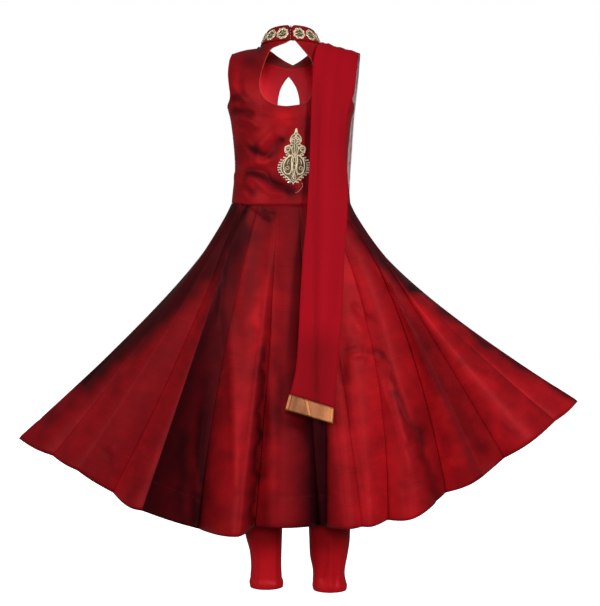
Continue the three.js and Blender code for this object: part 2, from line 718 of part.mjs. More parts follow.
function gorePoint(index, across, down) {
  const row = SEAMS[index];
  const next = SEAMS[(index + 1) % SEAMS.length];
  const nextWaist = next.waist < row.waist ? next.waist + 360 : next.waist;
  const waist = waistPoint(lerp(row.waist, nextWaist, across));
  const p = seamPoint(row, waist, down).lerp(seamPoint(next, waist, down), across);
  const swell = hump(across, row.at) * down ** SWELL_POWER;
  p.y += row.crest * swell;
  p.z -= row.sag * swell;
  return p;
}

function skirt() {
  const whole = new Sheet();
  const gores = SEAMS.map((_, index) =>
    whole.grid(GORE_COLUMNS, SKIRT_ROWS, (c, r) => gorePoint(index, c, r)),
  );
  const normals = whole.normals();
  gores.forEach((ids, index) => {
    const gore = new Sheet();
    const own = [];
    const newIds = ids.map((row) =>
      row.map((id, c) => {
        const p = whole.points[id].clone();
        const beside = c === 0 ? row[1] : c === GORE_COLUMNS ? row[c - 1] : null;
        if (beside !== null) {
          const towards = whole.points[beside].clone().sub(p);
          towards.addScaledVector(normals[id], -towards.dot(normals[id])).setLength(GORE_INSET);
          p.add(towards);
        }
        own.push(normals[id]);
        gore.points.push(p);
        return gore.points.length - 1;
      }),
    );
    for (let r = 0; r < SKIRT_ROWS; r++)
      for (let c = 0; c < GORE_COLUMNS; c++)
        gore.quads.push([newIds[r][c], newIds[r + 1][c], newIds[r + 1][c + 1], newIds[r][c + 1]]);
    const half = SEAMS.length / 2;
    const name =
      index < half
        ? "skirt_gore_front_" + String(index + 1).padStart(2, "0")
        : "skirt_gore_back_" + String(index + 1 - half).padStart(2, "0");
    cloth(name, wallOf(gore, SKIRT_WALL, own), DRESS_RED);
  });
}

// Half width and depths of the trouser waist at a height: it fits inside the bodice and
// narrows a little below it.
function waistSection(z) {
  const bodiceZ = Math.max(z, WAIST_Z);
  const taper = Math.max(0, WAIST_Z - z) * WAISTBAND_TAPER;
  const inset = BODICE_WALL + WAISTBAND_GAP + taper;
  const size = (name) => column(TORSO, "z", name, bodiceZ) - inset;
  return { z, half: size("half"), front: size("front"), back: size("back") };
}

// Point of a section at an angle from the front towards the side.
function sectionPoint(section, angle, mirror, middle = 0) {
  const depth = Math.cos(angle) > 0 ? section.front : section.back;
  return vec(
    middle + mirror * section.half * Math.sin(angle),
    -depth * Math.cos(angle),
    section.z,
  );
}

// A trouser leg: a tube below the crotch that opens into half of the seat above it.
function trouserLeg(name, mirror, table) {
  const sheet = new Sheet();
  const around = LEG_OUTER_STEPS + LEG_INNER_STEPS;
  const middle = mirror * HALF_GAP;
  const crotch = SEAT[0];
  const waist = waistSection(WAISTBAND_TOP_Z - WAISTBAND_HEIGHT);
  const seat = [...SEAT, { ...waist, z: waist.z - SEAM_GAP }];
  const seatPoint = (k, section) =>
    sectionPoint(section, (k * Math.PI) / LEG_OUTER_STEPS, mirror, middle);
  const crotchPoint = (k) => {
    const y = lerp(crotch.back, -crotch.front, k / LEG_INNER_STEPS);
    const depth = y < 0 ? crotch.front : crotch.back;
    return vec(middle, y, crotch.z - CROTCH_DIP * (1 - (y / depth) ** 2));
  };
  const legPoint = (k, row) => {
    const outer = k / LEG_OUTER_STEPS;
    const turns = outer <= 1 ? outer : 1 + (k - LEG_OUTER_STEPS) / LEG_INNER_STEPS;
    const a = turns * Math.PI;
    return vec(row.x + mirror * row.half * Math.sin(a), -row.depth * Math.cos(a), row.z);
  };
  const rings = table.map((row) => (k) => legPoint(k, row));
  rings.push((k) =>
    k <= LEG_OUTER_STEPS ? seatPoint(k, crotch) : crotchPoint(k - LEG_OUTER_STEPS),
  );
  const ids = rings.map((ring) => Array.from({ length: around }, (_, k) => sheet.add(ring(k))));
  const quad = (a, b, c, d) => sheet.quads.push(mirror > 0 ? [a, b, c, d] : [b, a, d, c]);
  for (let r = 0; r + 1 < ids.length; r++)
    for (let k = 0; k < around; k++) {
      const next = (k + 1) % around;
      quad(ids[r][k], ids[r][next], ids[r + 1][next], ids[r + 1][k]);
    }
  let below = ids[ids.length - 1].slice(0, LEG_OUTER_STEPS + 1);
  for (const section of seat.slice(1)) {
    const above = below.map((_, k) => sheet.add(seatPoint(k, section)));
    for (let k = 0; k < LEG_OUTER_STEPS; k++) quad(below[k], below[k + 1], above[k + 1], above[k]);
    below = above;
  }
  const normals = sheet.normals().map((n, i) => {
    if (Math.abs(sheet.points[i].x - middle) < ON_MIDDLE) n.x = 0;
    return n.normalize();
  });
  cloth(name, wallOf(sheet, TROUSER_WALL, normals), TROUSER_RED, 0.5);
}

function waistband() {
  const sheet = new Sheet();
  const bottom = WAISTBAND_TOP_Z - WAISTBAND_HEIGHT;
  sheet.grid(WAISTBAND_STEPS, WAISTBAND_ROWS, (c, r) => {
    const section = waistSection(lerp(WAISTBAND_TOP_Z, bottom, r));
    return sectionPoint(section, c * 2 * Math.PI, 1);
  });
  cloth("trouser_waistband", wallOf(sheet, TROUSER_WALL), TROUSER_RED, 0.5);
}

// The folded stole as one band between two rows of its path, its edges notched into
// layers.
function stoleBand(name, first, last, steps, colour, roughness, metalness) {
  const edges = ["l", "r"].map(
    (side) =>
      new THREE.CatmullRomCurve3(
        STOLE_PATH.map((row) => vec(row[side + "x"], row[side + "y"], row[side + "z"])),
      ),
  );
  const { top, under } = STOLE_STEPS;
  const section = [];
  for (let i = 0; i <= top; i++) {
    const u = i / top;
    const wave = STOLE_WAVE.height * Math.sin(u * STOLE_WAVE.turns) * Math.sin(Math.PI * u);
    section.push({ across: u, inset: 0, lift: STOLE_THICKNESS + wave });
  }
  const notched = (across, layer, depth) => {
    const inset = layer === STOLE_LAYERS[1] ? 0 : depth;
    section.push({ across, inset, lift: STOLE_THICKNESS * layer });
  };
  [...STOLE_LAYERS].reverse().forEach((layer) => notched(1, layer, -STOLE_NOTCH));
  for (let i = 0; i <= under; i++) section.push({ across: 1 - i / under, inset: 0, lift: 0 });
  STOLE_LAYERS.forEach((layer) => notched(0, layer, STOLE_NOTCH));
  const ring = (t) => {
    const l = edges[0].getPoint(t);
    const r = edges[1].getPoint(t);
    const along = edges[0].getTangent(t).add(edges[1].getTangent(t)).normalize();
    const across = r.clone().sub(l);
    const unit = across.clone().normalize();
    const normal = unit.clone().cross(along).normalize();
    return section.map((q) =>
      l
        .clone()
        .addScaledVector(across, q.across)
        .addScaledVector(unit, q.inset)
        .addScaledVector(normal, q.lift),
    );
  };
  const rings = [];
  for (let i = 0; i <= steps; i++) rings.push(ring(lerp(first, last, i / steps)));
  const count = section.length;
  const flat = rings.flat().flatMap((p) => [p.x, p.y, p.z]);
  const triangles = [];
  for (let r = 0; r < steps; r++)
    for (let k = 0; k < count; k++) {
      const [a, b] = [r * count + k, r * count + ((k + 1) % count)];
      triangles.push(a, b + count, a + count);
      triangles.push(a, b, b + count);
    }
  const outline = section.map((q) => new THREE.Vector2(q.across * STOLE_WIDTH + q.inset, q.lift));
  for (const [a, b, c] of THREE.ShapeUtils.triangulateShape(outline, [])) {
    const base = steps * count;
    triangles.push(a, b, c);
    triangles.push(base + a, base + c, base + b);
  }
  const geometry = new THREE.BufferGeometry();
  geometry.setAttribute("position", new THREE.Float32BufferAttribute(flat, 3));
  geometry.setIndex(triangles);
  geometry.computeVertexNormals();
  cloth(name, geometry, colour, roughness, metalness);
}

function stole() {
  const spans = STOLE_PATH.length - 1;
  const border = 1 / spans;
  const crossing = STOLE_CROSSING / spans;
  const seam = STOLE_SEAM / spans;
  const { border: ends, front, back } = STOLE_STEPS;
  stoleBand("stole_border_front", 0, border - seam, ends, GOLD, 0.35, 0.5);
  stoleBand("stole_front", border, crossing - seam, front, STOLE_RED, 0.6, 0);
  stoleBand("stole_back", crossing, 1 - border - seam, back, STOLE_RED, 0.6, 0);
  stoleBand("stole_border_back", 1 - border, 1, ends, GOLD, 0.35, 0.5);
}

bodiceFront();
bodiceBack("bodice_back_right", -1);
bodiceBack("bodice_back_left", 1);
insideBack("back_neck_facing", 0, FACING_ROWS, FACING_RED);
insideBack("back_lining", FACING_ROWS, BODICE_ROWS - 1, LINING_RED);
collarHalf("collar_right", -1);
collarHalf("collar_left", 1);
FLOWER_ANGLES.forEach((degrees, i) => {
  flower("collar_flower_right_" + (i + 1), -degrees);
  flower("collar_flower_left_" + (i + 1), degrees);
});
chestMotif();
skirt();
trouserLeg("trouser_leg_right", -1, LEG_RIGHT);
trouserLeg("trouser_leg_left", 1, LEG_LEFT);
waistband();
stole();

export default suit;
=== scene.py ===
import math

import bpy
import numpy as np
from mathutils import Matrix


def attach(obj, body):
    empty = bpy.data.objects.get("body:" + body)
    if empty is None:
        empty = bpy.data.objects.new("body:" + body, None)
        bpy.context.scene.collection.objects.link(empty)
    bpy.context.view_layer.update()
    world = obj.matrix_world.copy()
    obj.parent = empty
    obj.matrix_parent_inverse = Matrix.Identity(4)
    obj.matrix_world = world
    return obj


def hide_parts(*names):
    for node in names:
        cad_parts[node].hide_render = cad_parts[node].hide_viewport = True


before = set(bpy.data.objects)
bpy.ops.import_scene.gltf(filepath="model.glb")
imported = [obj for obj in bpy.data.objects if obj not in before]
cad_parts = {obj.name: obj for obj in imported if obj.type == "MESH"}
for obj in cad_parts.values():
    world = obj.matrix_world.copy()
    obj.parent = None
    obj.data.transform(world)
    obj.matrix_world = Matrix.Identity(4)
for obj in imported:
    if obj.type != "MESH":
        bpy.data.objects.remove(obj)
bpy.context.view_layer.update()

# A girl's salwar suit, filled out as if worn. Sizes are in millimetres here, in the
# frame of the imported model, and become metres when a mesh is made.
rng = np.random.default_rng(7)

MM_PER_M = 1000

# Camera, as the photograph shows the suit
CAMERA = (16.2, -2050.0, -441.0)
MM_PER_PIXEL = 1.8
PHOTO_MIDDLE = (300, 303)
PHOTO_HEIGHT = 606

SEAM_GAP = 0.3
HALF_GAP = SEAM_GAP / 2
LAYER_GAP = 0.5
BODICE_WALL = 1.6
WAIST_Z = -261
UNDERARM_Z = -90
COLLAR_SEAM_Z = 18.7
COLLAR_BASE_X = 54.5
SHOULDER_TIP_X = 105
FACING_BELOW_NECK = 4.5
COLLAR_BASE_Z = COLLAR_SEAM_Z + 1.4
COLLAR_BASE_R = 54.5
COLLAR_TOP_R = 43.5
COLLAR_TOP_Z = 44
COLLAR_FRONT_RISE = 5
COLLAR_FRONT_GAP = 1.8
COLLAR_END_DEG = 89.5


def table(names, *rows):
    """A table as one array for each named column."""
    data = np.array(rows, float)
    return {name: data[:, i] for i, name in enumerate(names.split())}


TORSO = table(
    "z half front back",
    (-262, 107, 74, 70), (-238, 104.5, 73, 69), (-202, 101, 74, 70), (-160, 103, 77, 72),
    (-112, 109, 79, 74), (-90, 114.5, 79, 75), (-60, 121, 79, 76), (-30, 125, 78, 76),
    (70, 125, 78, 76),
)
RIDGE = table(
    "x z",
    (0, 66), (20, 60), (36, 46), (48, 31), (54.5, COLLAR_SEAM_Z), (66, 15.5), (81, 13.5),
    (105, 6.5), (126, -5),
)
ARMHOLE = table("x z", (105, 6.5), (109.5, -9), (111.5, -34), (109, -60), (108, -78), (114.5, -90))
NECK_RIGHT = table(
    "x z",
    (-2, COLLAR_SEAM_Z), (-10, 14), (-22, 9.5), (-36, 2), (-48, -27), (-54, -52),
    (-53.5, -71), (-43, -88), (-24, -98), (-8, -100.5),
)
NECK_LEFT = table(
    "x z",
    (8, COLLAR_SEAM_Z), (18, 6), (27, -5), (37.5, -20), (38, -45), (37, -70), (31, -90),
    (16, -98), (-8, -100.5),
)
BACK_NECK = table("x z", (54.5, COLLAR_SEAM_Z), (41, 22), (27, 14.5), (13, 6.3), (0, 0))
KEYHOLE = table(
    "x z",
    (0, -20.5), (8, -30), (16, -45), (20.5, -68), (18, -90), (9, -104), (0, -109),
)
BACK_MIDDLE = {"neck": 3, "hole": -5}

# Skirt seams from the wearer's right side round the front to the left side
FRONT_SEAMS = table(
    "waist hemX hemY hemZ ctrlX ctrlZ crest at sag",
    (0, -491, 0, -684, -135, -367, 8, 0.5, 2),
    (11, -418, -52, -709, -160, -380, 6, 0.5, 1),
    (21, -366, -98, -728, -164, -422, 4, 0.4, 1),
    (31, -306, -92, -767, -158, -478, 14, 0.55, 4),
    (41, -247, -158, -786, -163, -524, -16, 0.5, 5),
    (59, -161, -92, -829, -130, -556, 74, 0.74, 2),
    (78, -60, -112, -821, -36, -540, 24, 0.45, -1),
    (97, 47, -104, -822, 30, -540, 26, 0.6, 0),
    (111, 120, -148, -815, 88, -530, 16, 0.4, 1),
    (123, 165, -120, -809, 170, -500, 38, 0.45, 10),
    (136, 268, -86, -768, 204, -408, 12, 0.55, 2),
    (147, 325, -132, -733, 194, -428, -6, 0.5, 2),
    (158, 372, -68, -711, 204, -422, 24, 0.45, 0),
    (169, 466, -44, -649, 168, -396, 8, 0.5, 1),
    (180, 517, 0, -617, 139, -381, 8, 0.5, 0),
)
GORES = 14
BACK_SWELL_SHARE = 0.9
HEM_DEPTH_BEND = 0.35
SWELL_POWER = 1.6

STOLE_THICKNESS = 5
STOLE_PATH = table(
    "lx ly lz rx ry rz",
    (-9, -146, -620, 71.5, -150, -643), (-1, -142, -594, 73, -145, -617),
    (8, -132, -555, 78, -134, -565), (13, -119, -490, 84, -121, -495),
    (16, -108, -430, 89, -108, -430), (21, -96, -355, 92, -94, -355),
    (27, -88, -295, 97, -82, -295), (30, -84, -240, 98.5, -72, -240),
    (32.5, -84, -180, 95, -67, -180), (34, -86, -120, 98, -68, -120),
    (35.5, -83, -70, 110, -60, -72), (38, -72, -25, 115, -44, -30),
    (44, -53, 6, 118, -26, -6), (52, -30, 17, 121, -11, 1.5),
    (58, -8, 20.5, 123, 2, 3.2), (58, 14, 19, 124, 14, 2),
    (52, 38, 12, 124, 30, -6), (49, 63, -14, 123, 50, -31),
    (45, 80, -62, 119, 66, -75), (40, 85, -130, 114, 74, -135),
    (34, 84, -200, 110, 76, -200), (30, 84, -255, 109, 80, -255),
    (26, 93, -325, 106, 91, -325), (20, 108, -430, 100, 108, -430),
    (14, 125, -540, 96, 127, -540), (8, 143, -650, 94, 147, -655),
    (6, 151, -700, 93, 156, -706), (5, 155, -726, 93, 160, -732),
)

LEG_RIGHT = table(
    "z x half depth",
    (-951, -43.9, 29.6, 27), (-942, -44.2, 30.6, 28), (-933, -44.7, 28.4, 26),
    (-912, -44.6, 27.6, 26), (-886, -45.6, 29, 28), (-856, -49, 33.4, 32),
    (-800, -50.5, 36.8, 37), (-720, -52, 40, 42), (-630, -53, 42, 44),
    (-545, -54, 47, 52), (-485, -54.5, 52, 62),
)
LEG_LEFT = table(
    "z x half depth",
    (-956, 70, 30, 28), (-948, 69.8, 31.4, 29), (-932, 68.2, 29, 27),
    (-918, 68, 29.4, 28), (-894, 67.9, 34, 31), (-858, 69.2, 37, 34),
    (-800, 68, 39, 38), (-720, 64, 41.5, 42), (-630, 60, 43, 44),
    (-545, 57, 47, 52), (-485, 55, 52, 62),
)
SEAT = table(
    "z half front back",
    (-448, 108, 67, 70), (-400, 112, 70, 71.5), (-345, 108, 69.5, 68.5), (-300, 102.5, 68, 65),
)
LEG_OUTER_STEPS = 10
LEG_INNER_STEPS = 6
CROTCH_DIP = 26
WAISTBAND_HEIGHT = 26
WAISTBAND_TOP_Z = -249
WAISTBAND_TAPER = 0.3
WAISTBAND_GAP = 0.7

MOTIF = table(
    "down half",
    (0, 1.2), (8, 3.2), (14, 9), (22, 11.5), (28, 9), (32, 18.5), (41, 19), (46, 14.5),
    (56, 24.5), (67, 28), (77, 25), (86, 15), (93, 8), (97, 2),
)
MOTIF_TOP = (10, -138)
MOTIF_LEAN = -0.06
FLOWER_ANGLES = (17, 44, 71)


# Curves and surfaces of the suit, as the solids have them

SPLINE_STEPS = 40


def column(rows, key, name, at):
    """Value of a named column at a place along its key column, smoothly."""
    keys, values, at = rows[key], rows[name], np.asarray(at, float)
    if keys[-1] < keys[0]:
        keys, at = -keys, -at
    last = len(keys) - 1
    i = np.clip(np.searchsorted(keys, at, side="right"), 1, last)
    before, after = np.maximum(i - 2, 0), np.minimum(i + 1, last)
    span = keys[i] - keys[i - 1]
    t = np.clip((at - keys[i - 1]) / span, 0, 1)
    slope_a = (values[i] - values[before]) / (keys[i] - keys[before]) * span
    slope_b = (values[after] - values[i - 1]) / (keys[after] - keys[i - 1]) * span
    return (
        (2 * t**3 - 3 * t**2 + 1) * values[i - 1] + (t**3 - 2 * t**2 + t) * slope_a
        + (3 * t**2 - 2 * t**3) * values[i] + (t**3 - t**2) * slope_b
    )


def lerp(a, b, t):
    return a + (b - a) * t


def smooth(t):
    t = np.clip(t, 0, 1)
    return t * t * (3 - 2 * t)


def bump(x, width):
    return np.exp(-((x / width) ** 2))


def joined(*parts):
    """Points from their coordinates, each of them a number or an array."""
    return np.stack(np.broadcast_arrays(*parts), -1)


def normed(v):
    """Vectors, each at length 1."""
    return v / np.maximum(np.linalg.norm(v, axis=-1), 1e-12)[..., None]


def run_length(points):
    """How far along a line each of its points lies."""
    return np.concatenate([[0], np.cumsum(np.linalg.norm(np.diff(points, axis=0), axis=1))])


def even_spline(points, share, closed=False):
    """Points of a smooth line through the given ones, by share of its length."""
    p = np.asarray(points, float)
    n = len(p)
    spans = n if closed else n - 1
    at = np.linspace(0, spans, SPLINE_STEPS * spans + 1)
    i = np.minimum(at.astype(int), spans - 1)
    w = (at - i)[:, None]
    if closed:
        p0, p1, p2, p3 = p[(i - 1) % n], p[i % n], p[(i + 1) % n], p[(i + 2) % n]
    else:
        p0, p1, p2, p3 = p[np.maximum(i - 1, 0)], p[i], p[i + 1], p[np.minimum(i + 2, n - 1)]
    v0, v1 = (p2 - p0) / 2, (p3 - p1) / 2
    dense = (2 * p1 - 2 * p2 + v0 + v1) * w**3 + (-3 * p1 + 3 * p2 - 2 * v0 - v1) * w**2 + v0 * w + p1
    length = run_length(dense)
    want = np.clip(share, 0, 1) * length[-1]
    return np.stack([np.interp(want, length, dense[:, k]) for k in range(p.shape[1])], -1)


def side_share(x, z):
    half = column(TORSO, "z", "half", z)
    return np.arcsin(np.clip(x / half, -1, 1)) / (np.pi / 2)


def to_share(points):
    return joined(side_share(points[..., 0], points[..., 1]), points[..., 1])


def line_through(rows, mirror=1, shift=0.0):
    points = joined(rows["x"] * mirror + shift, rows["z"])
    return lambda t: to_share(even_spline(points, t))


def straight(a, b):
    a, b = np.array(a, float), np.array(b, float)
    return lambda t: to_share(lerp(a, b, np.asarray(t)[:, None]))


def chain(t, *stretches):
    """One line after another, each over its own number of grid rows."""
    at = t * sum(rows for _, rows in stretches)
    out = np.zeros((len(t), 2))
    done = np.zeros(len(t), bool)
    start = 0
    for line, rows in stretches:
        here = ~done & (at <= start + rows + 1e-9)
        out[here] = line(np.clip((at[here] - start) / rows, 0, 1))
        done |= here
        start += rows
    return out


def coons(inner, outer, top, bottom):
    """A patch between four border lines, as a grid of (side share, height)."""
    r = np.linspace(0, 1, len(inner))[:, None, None]
    c = np.linspace(0, 1, len(top))[None, :, None]
    i, o, t, b = inner[:, None], outer[:, None], top[None], bottom[None]
    corners = (1 - c) * (1 - r) * i[0] + c * (1 - r) * o[0] + (1 - c) * r * i[-1] + c * r * o[-1]
    return (1 - c) * i + c * o + (1 - r) * t + r * b - corners


def torso_point(s, z, side):
    half = column(TORSO, "z", "half", z)
    depth = column(TORSO, "z", "front" if side < 0 else "back", z)
    angle = s * np.pi / 2
    x = half * np.sin(angle)
    ridge = column(RIDGE, "x", "z", np.abs(x))
    climb = np.clip((z - UNDERARM_Z) / (ridge - UNDERARM_Z), 0, 1)
    lean = np.sqrt(1 - climb * climb)
    return joined(x, side * (HALF_GAP + depth * np.cos(angle) * lean), z)


def collar_point(degrees, up):
    a = np.radians(degrees)
    x = COLLAR_BASE_R * np.sin(a)
    seam = torso_point(side_share(x, COLLAR_SEAM_Z), COLLAR_SEAM_Z, -1)
    base = joined(x, seam[..., 1], COLLAR_BASE_Z)
    top_z = COLLAR_TOP_Z + COLLAR_FRONT_RISE * np.cos(a)
    top = joined(COLLAR_TOP_R * np.sin(a), -COLLAR_TOP_R * np.cos(a), top_z)
    return lerp(base, top, np.asarray(up)[..., None])


def to_photo(p):
    """Where the photograph shows a point, in its pixels."""
    per_pixel = MM_PER_PIXEL * (1 - p[..., 1] / CAMERA[1])
    return joined(
        PHOTO_MIDDLE[0] + (p[..., 0] - CAMERA[0]) / per_pixel,
        PHOTO_MIDDLE[1] - (p[..., 2] - CAMERA[2]) / per_pixel,
    )


# Folds

FOLD_REACH = 3
FOLD_STEPS = 8


def ragged_edge(seen):
    """An uneven shift of places in the picture, the same in every run."""
    x, y = seen[:, 0], seen[:, 1]
    return joined(
        np.sin(y / 7.3 + 2.1 * np.sin(x / 13.0)) + 0.6 * np.sin(y / 3.1 + x / 5.7),
        np.sin(x / 9.1 + 1.7 * np.sin(y / 17.0)) + 0.5 * np.sin(x / 3.7 - y / 6.1),
    )


def fold_height(points, folds, ragged=0.0):
    """Sum of the folds' heights at points, which are placed as the photograph shows them.
    A fold is its height, its widths on the left and right of its line and how far its
    two ends fade, all in mm, and the line in pixels of the photograph."""
    seen = to_photo(points).reshape(-1, 2)
    seen = seen + ragged * ragged_edge(seen)
    total = np.zeros(len(seen))
    for height, left, right, fade_in, fade_out, line in folds:
        line = np.array(line, float)
        reach = FOLD_REACH * max(left, right) / MM_PER_PIXEL
        low, high = line.min(0) - reach, line.max(0) + reach
        near = np.flatnonzero(((seen > low) & (seen < high)).all(1))
        if not len(near):
            continue
        line = even_spline(line, np.linspace(0, 1, FOLD_STEPS * len(line)))
        a, b = line[:-1], line[1:]
        along = b - a
        length = np.linalg.norm(along, axis=1)
        start = np.concatenate([[0], np.cumsum(length)])
        offset = seen[near][:, None] - a[None]
        t = np.clip((offset * along).sum(-1) / length**2, 0, 1)
        gap = np.linalg.norm(offset - t[..., None] * along, axis=-1)
        best = gap.argmin(1)
        rows = np.arange(len(near))
        turn = along[best, 0] * offset[rows, best, 1] - along[best, 1] * offset[rows, best, 0]
        distance = gap[rows, best] * MM_PER_PIXEL
        place = (start[best] + t[rows, best] * length[best]) * MM_PER_PIXEL
        whole = start[-1] * MM_PER_PIXEL
        width = np.where(turn > 0, left, right)
        ends = smooth(place / fade_in) if fade_in else 1.0
        if fade_out:
            ends = ends * smooth((whole - place) / fade_out)
        total[near] += height * bump(distance, width) * ends
    return total.reshape(points.shape[:-1])


# Meshes

WELD_DIGITS = 3


def weld(points):
    """Equal points as one: the kept points and each point's number among them."""
    rounded = np.round(points, WELD_DIGITS)
    _, first, number = np.unique(rounded, axis=0, return_index=True, return_inverse=True)
    return first, number.reshape(-1)


def vertex_normals(points, quads):
    a, b, c, d = (points[quads[:, k]] for k in range(4))
    across = np.cross(c - a, d - b)
    sums = np.zeros_like(points)
    for k in range(4):
        repeated = k and (quads[:, k] == quads[:, k - 1])
        np.add.at(sums, quads[:, k], across * (1 - np.atleast_1d(repeated).astype(float))[:, None])
    return normed(sums)


def grid_quads(rows, columns, wrap=False):
    r, c = np.meshgrid(np.arange(rows - 1), np.arange(columns if wrap else columns - 1), indexing="ij")
    a = r * columns + c
    b = r * columns + (c + 1) % columns
    return joined(a, a + columns, b + columns, b).reshape(-1, 4)


class Build:
    """Collects the parts of one mesh, each with its own material number."""

    def __init__(self):
        self.points, self.faces, self.paint, self.flat = [], [], [], []
        self.uv, self.tone = [], []
        self.count = 0

    def add(self, points, faces, paint=0, uv=None, tone=1.0, flat=False):
        points = np.asarray(points, float)
        self.points.append(points)
        self.uv.append(points[:, [0, 2]] if uv is None else uv)
        self.tone.append(np.full(len(points), tone) if np.isscalar(tone) else tone)
        for face in faces:
            self.faces.append([int(v) + self.count for v in face])
        self.paint += [paint] * len(faces)
        self.flat += [flat] * len(faces) if isinstance(flat, bool) else list(flat)
        self.count += len(points)

    def finish(self, name, slot, materials, replaces=(), sheet=None):
        points = np.concatenate(self.points) / MM_PER_M
        uv = np.concatenate(self.uv) / MM_PER_M
        tone = np.concatenate(self.tone)
        mesh = bpy.data.meshes.new(name)
        mesh.from_pydata(points.tolist(), [], self.faces)
        mesh.polygons.foreach_set("use_smooth", [not f for f in self.flat])
        mesh.polygons.foreach_set("material_index", self.paint)
        layer = mesh.uv_layers.new(name="UVMap")
        corner = np.zeros(len(mesh.loops), np.int32)
        mesh.loops.foreach_get("vertex_index", corner)
        layer.data.foreach_set("uv", uv[corner].astype(np.float32).ravel())
        # The tone attribute carries each point's painted shade and light into the cloth's colour
        shade = mesh.attributes.new("tone", "FLOAT", "POINT")
        shade.data.foreach_set("value", tone.astype(np.float32))
        for material in materials:
            mesh.materials.append(material)
        mesh.update()
        piece = bpy.data.objects.new(name, mesh)
        bpy.context.scene.collection.objects.link(piece)
        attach(piece, "root")
        if replaces:
            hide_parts(*replaces)


def wall(build, grids, thickness, lift=0.0, height=None, fix=None, paint=0, inner_paint=None, wrap=False):
    """A closed cloth wall over grids of points, each a dict of points, uv and tone.
    Rows run down and columns run so that their quads face out."""
    points = np.concatenate([g["points"].reshape(-1, 3) for g in grids])
    uv = np.concatenate([g["uv"].reshape(-1, 2) for g in grids])
    tones = [np.broadcast_to(g.get("tone", 1.0), g["points"].shape[:2]) for g in grids]
    tone = np.concatenate([shades.reshape(-1) for shades in tones])
    quads, start = [], 0
    for g in grids:
        rows, columns = g["points"].shape[:2]
        q = grid_quads(rows, columns, wrap) + start
        quads.append(q[:, ::-1] if g.get("flip") else q)
        start += rows * columns
    first, number = weld(points)
    points, uv, tone = points[first], uv[first], tone[first]
    quads = number[np.concatenate(quads)]
    normals = vertex_normals(points, quads)
    if fix:
        normals = fix(points, normals)
    up = lift + (height(points) if height else 0.0)
    outer = points + normals * np.broadcast_to(up, len(points))[:, None]
    inner = outer - normals * thickness
    count = len(points)
    faces, rims = [], {}
    for quad in quads.tolist():
        ring = [v for i, v in enumerate(quad) if v != quad[i - 1]]
        faces.append(ring)
        for i, v in enumerate(ring):
            rims[(v, ring[(i + 1) % len(ring)])] = True
    back = [[v + count for v in ring[::-1]] for ring in faces]
    rim = [[b, a, a + count, b + count] for a, b in rims if (b, a) not in rims]
    flat = [False] * (2 * len(faces)) + [True] * len(rim)
    build.add(
        np.concatenate([outer, inner]), faces + back + rim, paint, np.concatenate([uv, uv]),
        np.concatenate([tone, tone]), flat,
    )
    if inner_paint is not None:
        at = len(build.paint) - len(faces) - len(rim)
        build.paint[at : at + len(faces)] = [inner_paint] * len(faces)


def path_frame(path, normal, closed):
    if closed:
        along = np.roll(path, -1, 0) - np.roll(path, 1, 0)
    else:
        along = np.gradient(path, axis=0)
    along = normed(along)
    side = normed(np.cross(along, normal))
    return side, np.cross(side, along)


def tube(build, path, radius, normal, sides, closed=False, paint=0, squash=1.0):
    """A cord along a path, with its normals pointing away from what it lies on."""
    path = np.asarray(path, float)
    normal = np.broadcast_to(np.asarray(normal, float), path.shape)
    side, up = path_frame(path, normal, closed)
    turn = np.linspace(0, 2 * np.pi, sides, endpoint=False)
    size = np.broadcast_to(radius, len(path))[:, None, None]
    flat, tall = np.cos(turn)[None, :, None], squash * np.sin(turn)[None, :, None]
    ring = flat * side[:, None] + tall * up[:, None]
    points = (path[:, None] + size * ring).reshape(-1, 3)
    rows = len(path)
    quads = grid_quads(rows, sides, True).tolist()
    if closed:
        last = (rows - 1) * sides
        quads += [[last + k, k, (k + 1) % sides, last + (k + 1) % sides] for k in range(sides)]
    else:
        quads += [list(range(sides)), [(rows - 1) * sides + k for k in reversed(range(sides))]]
    length = run_length(path)
    uv = joined(np.repeat(length, sides), np.tile(turn * np.mean(radius), rows))
    build.add(points, quads, paint, uv)


BALL_RINGS, BALL_SIDES = 5, 8
STONE_SIDES = 8
# Rings of a stone from its table down: share of its radius, and height
STONE_RINGS = ((0.55, 0.62), (1.0, 0.2), (1.0, -0.25))


def axes(normal):
    """A normal of length 1 with two directions across it."""
    n = normed(np.array(normal, float))
    a = normed(np.cross(n, (0, 0, 1)))
    return n, a, np.cross(n, a)


def ball(build, centre, radius, normal, paint=0):
    """A bead on a surface with that normal."""
    n, a, b = axes(normal)
    points = [centre + n * radius]
    for i in range(1, BALL_RINGS):
        tilt = np.pi * i / BALL_RINGS
        for k in range(BALL_SIDES):
            turn = 2 * np.pi * k / BALL_SIDES
            across = a * math.cos(turn) + b * math.sin(turn)
            points.append(centre + radius * (n * math.cos(tilt) + across * math.sin(tilt)))
    points.append(centre - n * radius)
    faces = [[0, 1 + k, 1 + (k + 1) % BALL_SIDES] for k in range(BALL_SIDES)]
    for i in range(BALL_RINGS - 2):
        for k in range(BALL_SIDES):
            j = (k + 1) % BALL_SIDES
            top, low = 1 + i * BALL_SIDES, 1 + (i + 1) * BALL_SIDES
            faces.append([top + k, low + k, low + j, top + j])
    end = len(points) - 1
    low = 1 + (BALL_RINGS - 2) * BALL_SIDES
    faces += [[end, low + (k + 1) % BALL_SIDES, low + k] for k in range(BALL_SIDES)]
    build.add(points, faces, paint)


